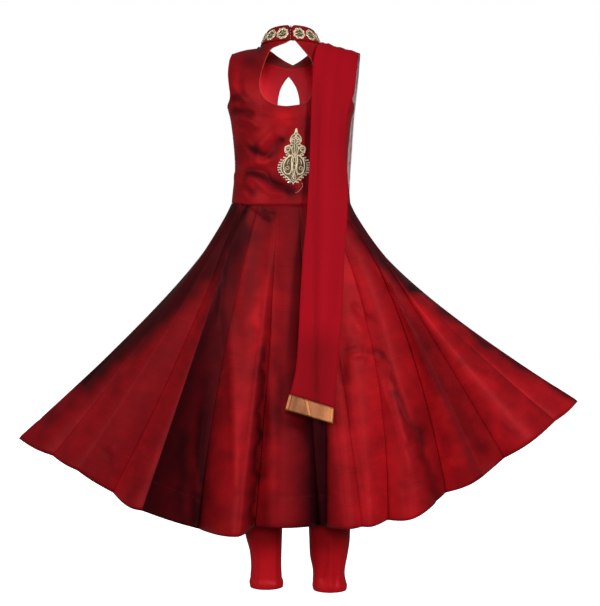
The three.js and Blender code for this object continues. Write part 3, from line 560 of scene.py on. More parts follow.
def stone(build, centre, radius, normal, paint=0):
    """A faceted stone: a flat table, a sloped crown and a short girdle."""
    n, a, b = axes(normal)
    points = []
    for share, up in STONE_RINGS:
        for k in range(STONE_SIDES):
            turn = 2 * np.pi * (k + 0.5) / STONE_SIDES
            points.append(centre + radius * (share * (a * math.cos(turn) + b * math.sin(turn)) + up * n))
    top, foot = range(STONE_SIDES), range(2 * STONE_SIDES, 3 * STONE_SIDES)
    faces = [list(reversed(top)), list(foot)]
    for ring in (0, STONE_SIDES):
        for k in range(STONE_SIDES):
            j = (k + 1) % STONE_SIDES
            low = ring + STONE_SIDES
            faces.append([ring + k, ring + j, low + j, low + k])
    build.add(points, faces, paint, flat=True)


# Materials

def node(tree, kind, settings=None, **inputs):
    """A shader node with its inputs set or linked, each by its name or as i and its number."""
    made = tree.nodes.new("ShaderNode" + kind)
    for key, value in (settings or {}).items():
        setattr(made, key, value)
    for key, value in inputs.items():
        socket = made.inputs[int(key[1:]) if key[1:].isdigit() else key.replace("_", " ")]
        if isinstance(value, bpy.types.NodeSocket):
            tree.links.new(value, socket)
        else:
            socket.default_value = value
    return made


def colour_mix(tree, factor, a, b):
    return node(tree, "Mix", {"data_type": "RGBA"}, i0=factor, i6=(*a, 1), i7=(*b, 1)).outputs[2]


def maths(tree, operation, *values, clamp=False):
    inputs = {f"i{k}": value for k, value in enumerate(values)}
    return node(tree, "Math", {"operation": operation, "use_clamp": clamp}, **inputs).outputs[0]


def stretched_noise(tree, uv, scale, detail=2.0, shift=0.0):
    """Noise of 0 to 1 with its own scale in each direction, per metre."""
    place = node(tree, "Mapping", Vector=uv, Scale=scale, Location=(shift, shift * 0.7, shift * 0.3))
    return node(tree, "TexNoise", Vector=place.outputs[0], Scale=1.0, Detail=detail).outputs["Fac"]


def new_material(name):
    """A material with an empty tree and its texture coordinates."""
    material = bpy.data.materials.new(name)
    material.use_nodes = True
    material.node_tree.nodes.clear()
    return material, material.node_tree, node(material.node_tree, "TexCoord").outputs


def end_material(tree, colour, relief, shader):
    surface = node(tree, "BsdfPrincipled", Base_Color=colour, Normal=relief, **shader)
    node(tree, "OutputMaterial", Surface=surface.outputs[0])


WARP_SHARE = 0.7
WARP_SHIFT = 5.0
WEAVE_BUMP = 0.15
SLUB_BUMP = 0.25


def cloth(
    name, dark, bright, streaks, streak_share=0.2, cloud=0.25, cloud_scale=14.0, weave=1500.0,
    weave_depth=0.00006, streak_depth=0.0002, even=0.62, **shader,
):
    """A woven cloth: slubs along the weft, a fine weave, and a mix of a dark and a bright
    colour by the slubs, by random clouds and by the tone attribute, which carries painted shade and light."""
    material, tree, place = new_material(name)
    uv = place["UV"]
    weft_scale, warp_scale = streaks
    slub = stretched_noise(tree, uv, (weft_scale, warp_scale, 1.0), 3.0)
    warp = stretched_noise(tree, uv, (warp_scale * WARP_SHARE, weft_scale * WARP_SHARE, 1.0), 2.0, WARP_SHIFT)
    cloudy = node(tree, "TexNoise", Vector=place["Object"], Scale=cloud_scale, Detail=5.0).outputs["Fac"]
    # Painted shade and light, set on each mesh's points
    tone = node(tree, "Attribute", {"attribute_name": "tone"}).outputs["Fac"]
    mixed = maths(tree, "MULTIPLY_ADD", slub, streak_share * 2, 1 - streak_share)
    clouds = maths(tree, "MULTIPLY_ADD", cloudy, cloud * 2, 1 - cloud)
    both = maths(tree, "MULTIPLY", mixed, clouds)
    toned = maths(tree, "MULTIPLY", both, tone)
    colour = colour_mix(tree, maths(tree, "MULTIPLY", toned, even, clamp=True), dark, bright)
    fine = node(tree, "Mapping", Vector=uv, Scale=(weave, weave, 1.0))
    threads = node(tree, "TexChecker", Vector=fine.outputs[0], Scale=1.0).outputs["Fac"]
    weave_bump = node(tree, "Bump", Height=threads, Strength=WEAVE_BUMP, Distance=weave_depth)
    slub_bump = node(
        tree, "Bump", Height=maths(tree, "ADD", slub, warp), Strength=SLUB_BUMP, Distance=streak_depth,
        Normal=weave_bump.outputs[0],
    )
    end_material(tree, colour, slub_bump.outputs[0], shader)
    return material


TWIST_TURN = 0.7
TWIST_BUMP = 0.6
TWIST_SHARE = 0.35
METAL_EVEN = 1.15


def metal_thread(name, dark, bright, scale=900.0, depth=0.0002, **shader):
    """Wound metal thread or bead metal: tarnish in the hollows, a fine twist."""
    material, tree, place = new_material(name)
    turned = node(tree, "Mapping", Vector=place["UV"], Rotation=(0, 0, TWIST_TURN)).outputs[0]
    twist = node(tree, "TexWave", Vector=turned, Scale=scale, Distortion=1.5, Detail=1.0).outputs["Fac"]
    tarnish = node(tree, "TexNoise", Vector=place["Object"], Scale=260.0, Detail=3.0).outputs["Fac"]
    share = maths(tree, "MULTIPLY_ADD", twist, TWIST_SHARE, tarnish)
    colour = colour_mix(tree, maths(tree, "MULTIPLY", share, METAL_EVEN, clamp=True), dark, bright)
    lumps = node(tree, "Bump", Height=twist, Strength=TWIST_BUMP, Distance=depth)
    end_material(tree, colour, lumps.outputs[0], shader)
    return material


SILK = cloth(
    "shot_silk", (0.011, 0.0018, 0.003), (0.46, 0.0078, 0.0125), (16.0, 420.0), cloud=0.62,
    cloud_scale=26.0, even=0.5, Roughness=0.42, Specular_IOR_Level=0.2, Specular_Tint=(1.0, 0.12, 0.13, 1),
)
SILK_WRONG_SIDE = cloth(
    "silk_wrong_side", (0.03, 0.001, 0.003), (0.3, 0.007, 0.015), (16.0, 420.0), Roughness=0.6,
    Specular_IOR_Level=0.2,
)
LINING = cloth(
    "lining_silk", (0.9, 0.012, 0.028), (1.0, 0.017, 0.04), (22.0, 500.0), streak_share=0.1, cloud=0.12,
    Roughness=0.55, Specular_IOR_Level=0.25, Sheen_Weight=0.05, Sheen_Tint=(1.0, 0.3, 0.3, 1),
)
FACING = cloth(
    "facing_silk", (0.2, 0.021, 0.02), (0.56, 0.058, 0.052), (20.0, 420.0), streak_share=0.1,
    Roughness=0.6, Specular_IOR_Level=0.2,
)
CHIFFON = cloth(
    "stole_chiffon", (0.14, 0.0006, 0.0025), (0.4, 0.0018, 0.0105), (60.0, 700.0), streak_share=0.12,
    cloud_scale=9.0, weave=1100.0, weave_depth=0.00012, Roughness=0.72, Specular_IOR_Level=0.06,
    Sheen_Weight=0.03, Sheen_Roughness=0.5, Sheen_Tint=(1.0, 0.1, 0.2, 1),
)
SATIN = cloth(
    "trouser_satin", (0.2, 0.002, 0.005), (0.56, 0.006, 0.012), (30.0, 500.0), streak_share=0.08, cloud=0.14,
    Roughness=0.45, Specular_IOR_Level=0.3, Specular_Tint=(1.0, 0.3, 0.32, 1),
)
RIBBON = cloth(
    "gold_ribbon", (0.07, 0.016, 0.0035), (0.45, 0.158, 0.046), (25.0, 900.0), streak_share=0.4, cloud=0.3,
    cloud_scale=40.0, weave=1300.0, weave_depth=0.00015, streak_depth=0.0004, Roughness=0.4,
    Metallic=0.45, Specular_IOR_Level=0.4,
)
GOLD_RIM = metal_thread(
    "champagne_thread", (0.42, 0.28, 0.13), (0.93, 0.81, 0.58), Roughness=0.36, Metallic=0.55,
)
GOLD_DARK = metal_thread(
    "bronze_thread", (0.02, 0.01, 0.004), (0.15, 0.088, 0.032), Roughness=0.42, Metallic=0.6,
)
STONE_PALE = metal_thread(
    "pale_stone", (0.62, 0.58, 0.5), (0.95, 0.92, 0.86), scale=300.0, depth=0.00002, Roughness=0.08,
    Specular_IOR_Level=0.9, Metallic=0.3,
)
STONE_DARK = metal_thread(
    "dark_stone", (0.012, 0.01, 0.012), (0.05, 0.035, 0.03), scale=300.0, depth=0.00002, Roughness=0.08,
    Specular_IOR_Level=0.9,
)
NET = metal_thread(
    "silver_net", (0.62, 0.52, 0.52), (0.86, 0.8, 0.8), Roughness=0.4, Metallic=0.35,
)
PIPING = cloth(
    "neck_piping", (0.16, 0.016, 0.01), (0.4, 0.07, 0.035), (200.0, 900.0), cloud=0.1,
    Roughness=0.5, Specular_IOR_Level=0.3,
)
THREAD = cloth(
    "sewing_thread", (0.06, 0.002, 0.004), (0.34, 0.009, 0.014), (300.0, 1500.0), cloud=0.1,
    Roughness=0.6, Specular_IOR_Level=0.2,
)
# Beadwork's materials, and their numbers
BEADWORK = [GOLD_RIM, GOLD_DARK, STONE_PALE, STONE_DARK]
RIM, BRONZE, PALE, DARK = range(4)

# Camera

lens_camera = bpy.data.cameras.new("photo_camera")
lens_camera.angle = 2 * math.atan(PHOTO_HEIGHT * MM_PER_PIXEL / 2 / -CAMERA[1])
lens_camera.clip_end = 100
camera = bpy.data.objects.new("photo_camera", lens_camera)
camera.location = [v / MM_PER_M for v in CAMERA]
camera.rotation_euler = (math.pi / 2, 0, 0)
bpy.context.scene.collection.objects.link(camera)
bpy.context.scene.camera = camera

# Bodice: a grid of panel rows, each divided into FINE rows of points

FINE = 6
ROWS = {"neck": 3, "facing": 1, "bridge": 1, "keyhole": 4, "seam": 7}
NECK_ROWS = ROWS["neck"] + ROWS["facing"] + ROWS["bridge"] + ROWS["keyhole"]
FACING_ROWS = ROWS["neck"] + ROWS["facing"]
BODICE_ROWS = NECK_ROWS + ROWS["seam"]
BODICE_COLUMNS = 8
DOWN = np.linspace(0, 1, BODICE_ROWS * FINE + 1)
ACROSS = np.linspace(0, 1, BODICE_COLUMNS * FINE + 1)

# Creases of the bodice front, from the underarm, round the chest and at the waist
BODICE_FOLDS = (
    (-3.2, 8, 5, 12, 14, ((283.6, 137), (272.9, 146.8), (265.7, 155.7), (259, 160))),
    (3.4, 9, 14, 10, 14, ((278, 128), (270, 136), (262, 144), (254, 148))),
    (-3.4, 6, 5, 12, 14, ((245, 171), (255, 170), (265.7, 173), (270, 182.5), (283.6, 187), (294, 189.5))),
    (2.6, 6, 7, 12, 14, ((243, 178), (253, 179), (262, 186), (272, 193), (286, 196))),
    (2.4, 6, 6, 10, 12, ((252, 160), (262, 163), (274, 160), (282, 154))),
    (-1.6, 3.5, 3, 6, 8, ((243.6, 141), (247, 147), (252, 152.5), (258, 154.5))),
    (1.2, 3, 3, 6, 8, ((246, 140), (250, 145), (256, 148))),
    (-2.2, 4.5, 4, 10, 14, ((235.4, 163), (238, 172), (242, 181), (247, 189), (253, 196))),
    (1.6, 4, 5, 10, 14, ((233, 170), (237, 181), (243, 191), (250, 198))),
    (-3.0, 4, 4, 8, 10, ((231, 118), (238, 113), (246, 112), (256, 117))),
    (2.4, 6, 6, 8, 12, ((232, 124), (240, 119), (250, 121), (262, 130))),
    (-2.0, 5, 5, 8, 12, ((232, 128), (241, 128), (252, 133))),
    (-1.8, 4, 4, 8, 10, ((229.5, 88), (233, 94), (238, 101), (243, 109))),
    (1.5, 5, 4, 8, 10, ((231, 80), (235, 88), (241, 97), (249, 104))),
    (-1.2, 5, 5, 10, 12, ((262, 112), (270, 118), (282, 121), (296, 119))),
    (1.6, 7, 7, 12, 14, ((258, 105), (266, 114), (280, 118), (300, 115))),
    (-1.7, 3, 2.4, 3, 8, ((240, 199.5), (248, 202), (262, 203.6), (279, 204.6))),
    (1.2, 2.6, 3, 3, 8, ((240, 196), (250, 198.5), (266, 200), (284, 201))),
    (-2.4, 12, 12, 20, 20, ((290, 122), (292, 140), (296, 150))),
    (-2.0, 8, 7, 14, 14, ((306, 190), (306, 170), (308, 150), (309, 128))),
    (1.6, 8, 8, 14, 14, ((250, 66), (246, 84), (247, 100))),
    (-1.4, 6, 6, 14, 10, ((240, 58), (240, 72), (237, 86))),
    (-1.6, 6, 5, 14, 14, ((345, 130), (335, 140), (326, 156))),
    (-1.8, 5, 4, 14, 14, ((347, 168), (336, 172), (322, 182))),
)
# The same kind of creases behind, where none can be seen
BACK_FOLDS = (
    (-2.8, 6, 5, 12, 14, ((236, 132), (248, 138), (258, 148), (266, 154))),
    (2.2, 7, 6, 12, 14, ((236, 124), (250, 130), (262, 140), (272, 146))),
    (-2.6, 5, 6, 12, 14, ((349, 128), (338, 134), (327, 145), (318, 150))),
    (2.4, 6, 7, 12, 14, ((349, 120), (336, 126), (324, 137), (314, 142))),
    (-2.4, 5, 4, 10, 14, ((237, 172), (250, 176), (262, 185), (278, 188))),
    (2.0, 5, 6, 10, 14, ((237, 180), (250, 184), (264, 193), (282, 196))),
    (-2.4, 4, 5, 10, 14, ((347, 166), (336, 172), (326, 182), (312, 187))),
    (-1.6, 3, 3, 4, 8, ((241, 199), (256, 203), (284, 204))),
    (-1.6, 3, 3, 4, 8, ((343, 199), (330, 202), (306, 204))),
    (1.4, 8, 8, 14, 14, ((250, 66), (246, 84), (247, 100))),
    (1.4, 8, 8, 14, 14, ((338, 66), (340, 84), (339, 100))),
)

# Where the bodice's silk turns from the light, or towards it
BODICE_SHADES = (
    (-0.55, 36, 20, 0, 30, ((263, 38), (257, 50), (251, 60), (246, 74))),
    (0.2, 5, 6, 8, 10, ((236, 70), (235, 80), (236, 90))),
    (-0.7, 7, 14, 6, 10, ((231, 92), (232, 98), (233, 106))),
    (-0.12, 30, 30, 10, 10, ((240, 60), (244, 72), (246, 84))),
    (-0.62, 8, 9, 8, 12, ((230, 112), (238, 112), (246, 114), (254, 117))),
    (-0.4, 7, 9, 8, 12, ((238, 93), (246, 101), (254, 106), (260, 109))),
    (-0.75, 8, 8, 10, 12, (
        (251, 143), (256, 150.5), (262, 154), (268, 154), (275, 149.5), (281, 144), (288, 137),
    )),
    (-0.3, 7, 6, 8, 8, ((290, 132), (286, 138), (281, 144))),
    (-0.3, 20, 26, 14, 14, ((243, 140), (247, 154), (249, 164))),
    (-0.15, 20, 20, 10, 10, ((240, 186), (245, 196), (250, 204))),
    (-0.9, 9, 10, 10, 10, (
        (241, 172), (250, 174.5), (262, 176.5), (270, 180), (278, 184), (288, 188), (298, 190),
    )),
    (-0.35, 8, 9, 10, 10, ((284, 188), (293, 192), (305, 193))),
    (-0.55, 6, 6, 8, 8, ((239, 182), (250, 190), (259, 196))),
    (-0.3, 12, 12, 10, 10, ((286, 196), (296, 200), (306, 204))),
    (-0.5, 12, 7, 14, 14, ((309, 112), (309, 140), (308, 165), (305, 200))),
    (0.7, 14, 12, 14, 14, ((270, 111), (282, 116), (296, 121))),
    (0.35, 8, 8, 8, 8, ((262, 130), (270, 136), (276, 134))),
    (0.3, 8, 9, 8, 8, ((252, 156), (262, 160), (270, 160))),
    (0.3, 9, 9, 10, 10, ((244, 178), (250, 182), (258, 188))),
)
RAGGED = 1.1
WAIST_EASE = 8


def waist_flush(points):
    return smooth((points[..., 2] - WAIST_Z) / WAIST_EASE)


def front_height(points):
    return fold_height(points, BODICE_FOLDS) * waist_flush(points)


def front_tone(points):
    return np.clip(1 + fold_height(points, BODICE_SHADES, RAGGED), 0.1, 2.0)


def back_height(points):
    return fold_height(points, BACK_FOLDS) * waist_flush(points)


def share_line(mirror, top, low):
    return lambda t: joined(mirror, lerp(top, low, t))


def outer_border(mirror):
    upper = {k: v[:2] for k, v in ARMHOLE.items()}
    lower = {k: v[1:] for k, v in ARMHOLE.items()}
    return chain(
        DOWN, (line_through(upper, mirror), FACING_ROWS),
        (line_through(lower, mirror), NECK_ROWS - FACING_ROWS),
        (share_line(mirror, UNDERARM_Z, WAIST_Z), ROWS["seam"]),
    )


def shoulder_line(mirror, t):
    x = lerp(COLLAR_BASE_X, SHOULDER_TIP_X, t)
    return to_share(joined(mirror * x, column(RIDGE, "x", "z", x)))


def front_grid(mirror):
    neck = NECK_RIGHT if mirror < 0 else NECK_LEFT
    low_s, low_z = side_share(neck["x"][-1], neck["z"][-1]), neck["z"][-1]
    inner = chain(
        DOWN, (line_through(neck), NECK_ROWS),
        (lambda t: joined(low_s * (1 - t), lerp(low_z, WAIST_Z, t)), ROWS["seam"]),
    )
    base = straight((neck["x"][0], neck["z"][0]), (mirror * COLLAR_BASE_X, COLLAR_SEAM_Z))
    top = chain(ACROSS, (base, 1), (lambda t: shoulder_line(mirror, t), 1))
    return coons(inner, outer_border(mirror), top, joined(mirror * ACROSS, WAIST_Z))


def back_middle_x(z):
    up = (z - KEYHOLE["z"][0]) / (BACK_NECK["z"][-1] - KEYHOLE["z"][0])
    return lerp(BACK_MIDDLE["hole"], BACK_MIDDLE["neck"], np.clip(up, 0, 1))


def back_grid(mirror, offset):
    end = BACK_NECK["x"][0]
    neck = {
        "x": mirror * BACK_NECK["x"] + (BACK_MIDDLE["neck"] + offset) * (1 - BACK_NECK["x"] / end),
        "z": BACK_NECK["z"],
    }
    neck_z = BACK_NECK["z"][-1]
    facing_z = neck_z - FACING_BELOW_NECK
    hole_x = BACK_MIDDLE["hole"] + offset

    def middle(high, low):
        return straight((back_middle_x(high) + offset, high), (back_middle_x(low) + offset, low))

    inner = chain(
        DOWN, (line_through(neck), ROWS["neck"]), (middle(neck_z, facing_z), ROWS["facing"]),
        (middle(facing_z, KEYHOLE["z"][0]), ROWS["bridge"]),
        (line_through(KEYHOLE, mirror, hole_x), ROWS["keyhole"]),
        (middle(KEYHOLE["z"][-1], WAIST_Z), ROWS["seam"]),
    )
    waist = joined(lerp(side_share(hole_x, WAIST_Z), mirror, ACROSS), WAIST_Z)
    return coons(inner, outer_border(mirror), shoulder_line(mirror, ACROSS), waist)


WAIST_LAP = 0.28
WAIST_DIP = 10.0
DIP_REACH = 60


def bodice_sheet(grid, side, flip):
    """A bodice panel over its grid. The front's waist dips towards its middle."""
    if side < 0:
        near = smooth(1 - (grid[..., 1] - WAIST_Z) / DIP_REACH)
        dip = WAIST_DIP * (1 - np.clip(grid[..., 0], -1, 1) ** 2) * near
        grid = joined(grid[..., 0], grid[..., 1] - dip)
    points = torso_point(grid[..., 0], grid[..., 1], side)
    points[..., 2] -= np.where(points[..., 2] < WAIST_Z + 0.01, WAIST_LAP, 0.0)
    points[..., 1] = np.where(np.abs(points[..., 1]) < 2 * HALF_GAP, 0.0, points[..., 1])
    tone = front_tone(points) if side < 0 else 1.0
    return {"points": points, "uv": points[..., [0, 2]], "flip": flip, "tone": tone}


def seam_plane(points, normals):
    """Normals kept in the plane of the side and shoulder seams."""
    normals = normals.copy()
    normals[np.abs(points[:, 1]) < 2 * HALF_GAP, 1] = 0
    normals[np.linalg.norm(normals, axis=1) < 1e-6] = (0, 0, 1)
    return normed(normals)


CLOTH_WALL = 1.0
LAYER_WALL = 0.7
front_grids = {mirror: front_grid(mirror) for mirror in (-1, 1)}
bodice = Build()
wall(
    bodice, [bodice_sheet(front_grids[mirror], -1, mirror < 0) for mirror in (-1, 1)], CLOTH_WALL,
    height=front_height, fix=seam_plane, inner_paint=1,
)
bodice.finish(
    "bodice_front_cloth", "dress_silk", [SILK, SILK_WRONG_SIDE], ["bodice_front"],
    dict(flat=(0.42, 0.31), held="hung", rests_on=["back_lining"], area=0.075),
)
for name, mirror in (("right", -1), ("left", 1)):
    half = Build()
    wall(
        half, [bodice_sheet(back_grid(mirror, mirror * HALF_GAP), 1, mirror > 0)], CLOTH_WALL,
        height=back_height, fix=seam_plane, inner_paint=1,
    )
    half.finish(
        f"bodice_back_{name}_cloth", "dress_silk", [SILK, SILK_WRONG_SIDE], [f"bodice_back_{name}"],
        dict(flat=(0.19, 0.31), held="hung", rests_on=["back_lining"], area=0.04),
    )


FACING_CURVE = 8.0
RIDGE_ROWS = 2


def back_layer(name, first, last, slot, material, replaced, sheet):
    """Some rows of the back's surface as a layer inside it. The facing's lower edge
    rises from the middle to each side."""
    grids = []
    from_edge = np.abs(np.arange(len(DOWN)) / FINE - FACING_ROWS)[:, None]
    aside = smooth(ACROSS / 0.42) * (1 - smooth((ACROSS - 0.6) / 0.4))
    for mirror in (-1, 1):
        grid = back_grid(mirror, 0.0)
        grid[..., 1] += FACING_CURVE * np.clip(1 - from_edge / 3.5, 0, 1) * aside
        rows = slice(max(first * FINE, RIDGE_ROWS), last * FINE + 1)
        grids.append(bodice_sheet(grid[rows], 1, mirror > 0))
    layer = Build()
    wall(layer, grids, LAYER_WALL, lift=-(BODICE_WALL + LAYER_GAP), height=back_height, fix=seam_plane)
    layer.finish(name, slot, [material], replaced, sheet)


back_layer(
    "back_neck_facing_cloth", 0, FACING_ROWS, "facing_silk", FACING, ["back_neck_facing"],
    dict(flat=(0.22, 0.05), held="hung", rests_on=["bodice_back_right_cloth"], area=0.0075),
)
back_layer(
    "back_lining_cloth", FACING_ROWS, BODICE_ROWS - 1, "lining", LINING, ["back_lining"],
    dict(flat=(0.36, 0.26), held="hung", rests_on=["bodice_back_right_cloth"], area=0.06),
)


def raised(at, u, v, steps, lift):
    """Points of a surface at u and v, moved out by what lift gives, and its normals."""
    p = at(u, v)
    n = normed(np.cross(at(u + steps[0], v) - p, at(u, v + steps[1]) - p))
    return p + n * np.broadcast_to(lift(p), p.shape[:-1])[..., None], n


def on_bodice(x, z, lift):
    """Points on the bodice front, moved out by lift, and the surface's normals there."""
    x, z = np.asarray(x, float), np.asarray(z, float)

    def at(px, pz):
        return torso_point(side_share(px, pz), pz, -1)

    return raised(at, x, z, (1, 1), lambda p: front_height(p) + lift)


# Neck piping and the turned edges of the armholes

NECK_PIPING_R = 0.5
ARMHOLE_PIPING_R = 0.95
trim = Build()
neck_line = np.concatenate(
    [
        torso_point(*front_grids[-1][: NECK_ROWS * FINE + 1, 0].T, -1),
        torso_point(*front_grids[1][: NECK_ROWS * FINE, 0].T, -1)[::-1],
    ]
)
neck_out = normed(joined(neck_line[:, 0] * 0.3, -60.0, 0.0))
neck_at = neck_line + neck_out * (front_height(neck_line)[:, None] - 0.2)
tube(trim, neck_at, NECK_PIPING_R, neck_out, 6)
trim.finish("neck_piping", "gold_border", [PIPING])

edge = Build()
for side in (-1, 1):
    for mirror in (-1, 1):
        grid = front_grids[mirror] if side < 0 else back_grid(mirror, mirror * HALF_GAP)
        line = torso_point(*grid[: NECK_ROWS * FINE + 1, -1].T, side)
        height = front_height(line) if side < 0 else back_height(line)
        out = joined(mirror * 0.8, side * 0.6, 0 * height)
        line = line + out * (height[:, None] * 0.5) - out * [0.6, 0.3, 0]
        line[:, 1] += side * 0.35
        tube(edge, line, ARMHOLE_PIPING_R, out, 6)
edge.finish("armhole_piping", "dress_silk", [SILK])

# Collar: a padded band in two halves that meet at a hook in front

COLLAR_BAND = 26.0
COLLAR_LAP = 0.03
# Painted shade: the collar's silk is drawn darker than the bodice's
COLLAR_PAINTED_SHADE = 0.72
COLLAR_WALL = 2.0
COLLAR_CROWN = 0.8
COLLAR_STITCH_DEPTH = 0.3
COLLAR_STITCH_FROM_EDGE = 2.4
COLLAR_MEAN_R = 47
DEGREES_PER_MM = 180 / (math.pi * COLLAR_MEAN_R)


def collar_surface(degrees, up, lift):
    """Points of the collar's outer face, moved out by lift, and its normals."""
    degrees, up = np.asarray(degrees, float), np.asarray(up, float)
    return raised(collar_point, degrees, up, (0.5, 0.02), lambda p: lift)


for name, mirror, corner in (("right", -1, 5.0), ("left", 1, 6.5)):
    along = np.concatenate([np.linspace(0, 0.14, 12), np.linspace(0.16, 1, 40)])
    up = np.linspace(1, -COLLAR_LAP, 17)
    start = COLLAR_FRONT_GAP / COLLAR_TOP_R * 180 / math.pi
    degrees = lerp(start, COLLAR_END_DEG, along)
    from_front = (degrees - start) / DEGREES_PER_MM
    short = np.clip(corner - from_front, 0, corner)
    drop = (corner - np.sqrt(corner**2 - short**2)) / COLLAR_BAND
    height = up[:, None] * (1 - drop)[None, :]
    points, normals = collar_surface(mirror * np.broadcast_to(degrees, height.shape), height, 0.0)
    edge_gap = np.minimum((1 - up[:, None]) * COLLAR_BAND, from_front + 1.0)
    stitched = COLLAR_STITCH_DEPTH * bump(edge_gap - COLLAR_STITCH_FROM_EDGE, 0.7)
    crown = COLLAR_CROWN * smooth(edge_gap / 6) - stitched
    points = points + normals * crown[..., None]
    band = Build()
    uv = joined(from_front, height * COLLAR_BAND)
    wall(band, [{"points": points, "uv": uv, "flip": mirror < 0, "tone": COLLAR_PAINTED_SHADE}], COLLAR_WALL)
    band.finish(
        f"collar_{name}_band", "dress_silk", [SILK], [f"collar_{name}"],
        dict(flat=(0.034, 0.088), held="hung", rests_on=["bodice_front_cloth"]),
    )

# The underlap that closes the gap behind the hook
tab_degrees, tab_up = np.meshgrid(np.linspace(-7, 7, 11), np.linspace(0.93, 0.03, 14))
tab_points, _ = collar_surface(tab_degrees, tab_up, -2.9)
UNDERLAP_WALL = 0.8
# Painted shade on the underlap's silk, where it lies in the gap behind the hook
UNDERLAP_PAINTED_SHADE = 0.55
MM_PER_DEGREE = 0.8
tab_uv = joined(tab_degrees * MM_PER_DEGREE, tab_up * COLLAR_BAND)
underlap = Build()
wall(underlap, [{"points": tab_points, "uv": tab_uv, "tone": UNDERLAP_PAINTED_SHADE}], UNDERLAP_WALL)
underlap.finish(
    "collar_underlap_cloth", "dress_silk", [SILK], [],
    dict(flat=(0.0115, 0.025), held="stretched", rests_on=["collar_left_band"]),
)

hook = Build()
for degrees in (-1.2, 1.2):
    ring_turn = np.linspace(0, 2 * np.pi, 20, endpoint=False)
    path, out = collar_surface(degrees + 1.9 * np.cos(ring_turn), 0.86 + 0.055 * np.sin(ring_turn), 0.8)
    tube(hook, path, 0.35, out, 6, closed=True)
for k in range(8):
    centre, out = collar_surface(0.4 * (-1) ** k, 0.74 - 0.095 * k, 0.3)
    ball(hook, centre, 0.75, out, paint=k % 2)
hook.finish("collar_hook", "gold_applique", [STONE_DARK, GOLD_RIM])

# Flowers on the collar: a lobed rim cord, pierced petals of darker thread, a stone

FLOWER_R = 9.8
FLOWER_UP = 0.42
FLOWER_FLATTEN = 0.75
FLOWER_WALL = 0.5
LOBES = 8


def flower_parts(name, degrees, spin):
    build = Build()

    def place(radius, turn, lift):
        x, z = radius * np.cos(turn), radius * np.sin(turn)
        return collar_surface(degrees + x * DEGREES_PER_MM * 0.97, FLOWER_UP + z / 27.5, lift)

    def lobed(turn):
        return 0.88 + 0.2 * np.abs(np.cos(LOBES / 2 * (turn + spin)))

    turn = np.linspace(0, 2 * np.pi, 8 * LOBES, endpoint=False)
    disc_turn, disc_share = np.meshgrid(-turn, np.linspace(0.16, 1, 9))
    ridged = 0.5 + 0.35 * np.cos(LOBES * (disc_turn + spin)) * bump(disc_share - 0.62, 0.25)
    points, _ = place(FLOWER_R * disc_share * lobed(disc_turn) * 0.96, disc_turn, ridged + 0.2)
    disc_uv = joined(disc_turn * 5, disc_share * 9)
    wall(build, [{"points": points, "uv": disc_uv}], FLOWER_WALL, paint=BRONZE, wrap=True)
    rim, out = place(FLOWER_R * lobed(turn) * 0.93, turn, 1.25)
    tube(build, rim, 1.15, out, 8, True, RIM, FLOWER_FLATTEN)
    inner, out = place(FLOWER_R * 0.72 * lobed(turn), turn, 1.15)
    tube(build, inner, 0.8, out, 7, True, RIM, FLOWER_FLATTEN)
    for k in range(LOBES):
        at = 2 * np.pi * (k + 0.5) / LOBES - spin
        leaf_turn = np.linspace(0, 2 * np.pi, 14, endpoint=False)
        radius = 4.2 + 1.3 * np.cos(leaf_turn)
        leaf, out = place(radius, at + 0.7 * np.sin(leaf_turn) / radius, 1.0)
        tube(build, leaf, 0.28, out, 5, True, BRONZE if k % 4 else RIM)
        centre, out = place(4.4, at, 0.9)
        ball(build, centre, 0.5, out, DARK if k % 4 else PALE)
    eye, out = place(np.full(16, 2.1), np.linspace(0, 2 * np.pi, 16, endpoint=False), 1.1)
    tube(build, eye, 0.4, out, 6, True, RIM)
    centre, out = place(0.0, 0.0, 1.0)
    stone(build, centre, 1.5, out, DARK)
    build.finish(name + "_applique", "gold_applique", BEADWORK, [name])


for number, angle in enumerate(FLOWER_ANGLES, 1):
    flower_parts(f"collar_flower_right_{number}", -angle, 0.2 * number)
    flower_parts(f"collar_flower_left_{number}", angle, 0.3 * number)

# Chest ornament: a drop of couched cords with a palmette, scrolls, two paisleys and
# a fringe of stones

motif = Build()


def on_motif(across, down, lift):
    across, down = np.asarray(across, float), np.asarray(down, float)
    return on_bodice(MOTIF_TOP[0] + MOTIF_LEAN * down + across, MOTIF_TOP[1] - down, lift)


MOTIF_FLATTEN = 0.8
MOTIF_WALL = 0.6
CORD_STEPS = 7


def cord_on_motif(points, radius, lift, paint=RIM, closed=False):
    share = np.linspace(0, 1, CORD_STEPS * len(points), endpoint=not closed)
    line = even_spline(points, share, closed)
    path, out = on_motif(line[:, 0], line[:, 1], lift)
    tube(motif, path, radius, out, 7, closed, paint, MOTIF_FLATTEN)


def bead_on_motif(across, down, lift, radius, paint=RIM):
    centre, out = on_motif(across, down, lift)
    ball(motif, centre, radius, out, paint)


def stone_on_motif(across, down, lift, radius, paint):
    centre, out = on_motif(across, down, lift)
    stone(motif, centre, radius, out, paint)


# The ground of the ornament, drawn in where the fringe stands
FRINGE_FROM = 40
down = np.linspace(0.5, 96.5, 90)
side = np.linspace(-1, 1, 25)
fringe_inset = smooth((down - FRINGE_FROM) / 6) * 4.2
half = np.maximum(column(MOTIF, "down", "half", down) - 1.4 - fringe_inset, 0.8)
scallop = 1 + 0.05 * np.sin(down * 1.9)
grid_across = side[None, :] * (half * scallop)[:, None]
grid_down = np.broadcast_to(down[:, None], grid_across.shape)
relief = 0.55 + 0.25 * np.sin(grid_across * 2.1) * np.sin(grid_down * 2.3)
points, _ = on_motif(grid_across, grid_down, relief + 0.3)
ground_uv = joined(grid_across, grid_down)
wall(motif, [{"points": points, "uv": ground_uv}], MOTIF_WALL, paint=BRONZE)

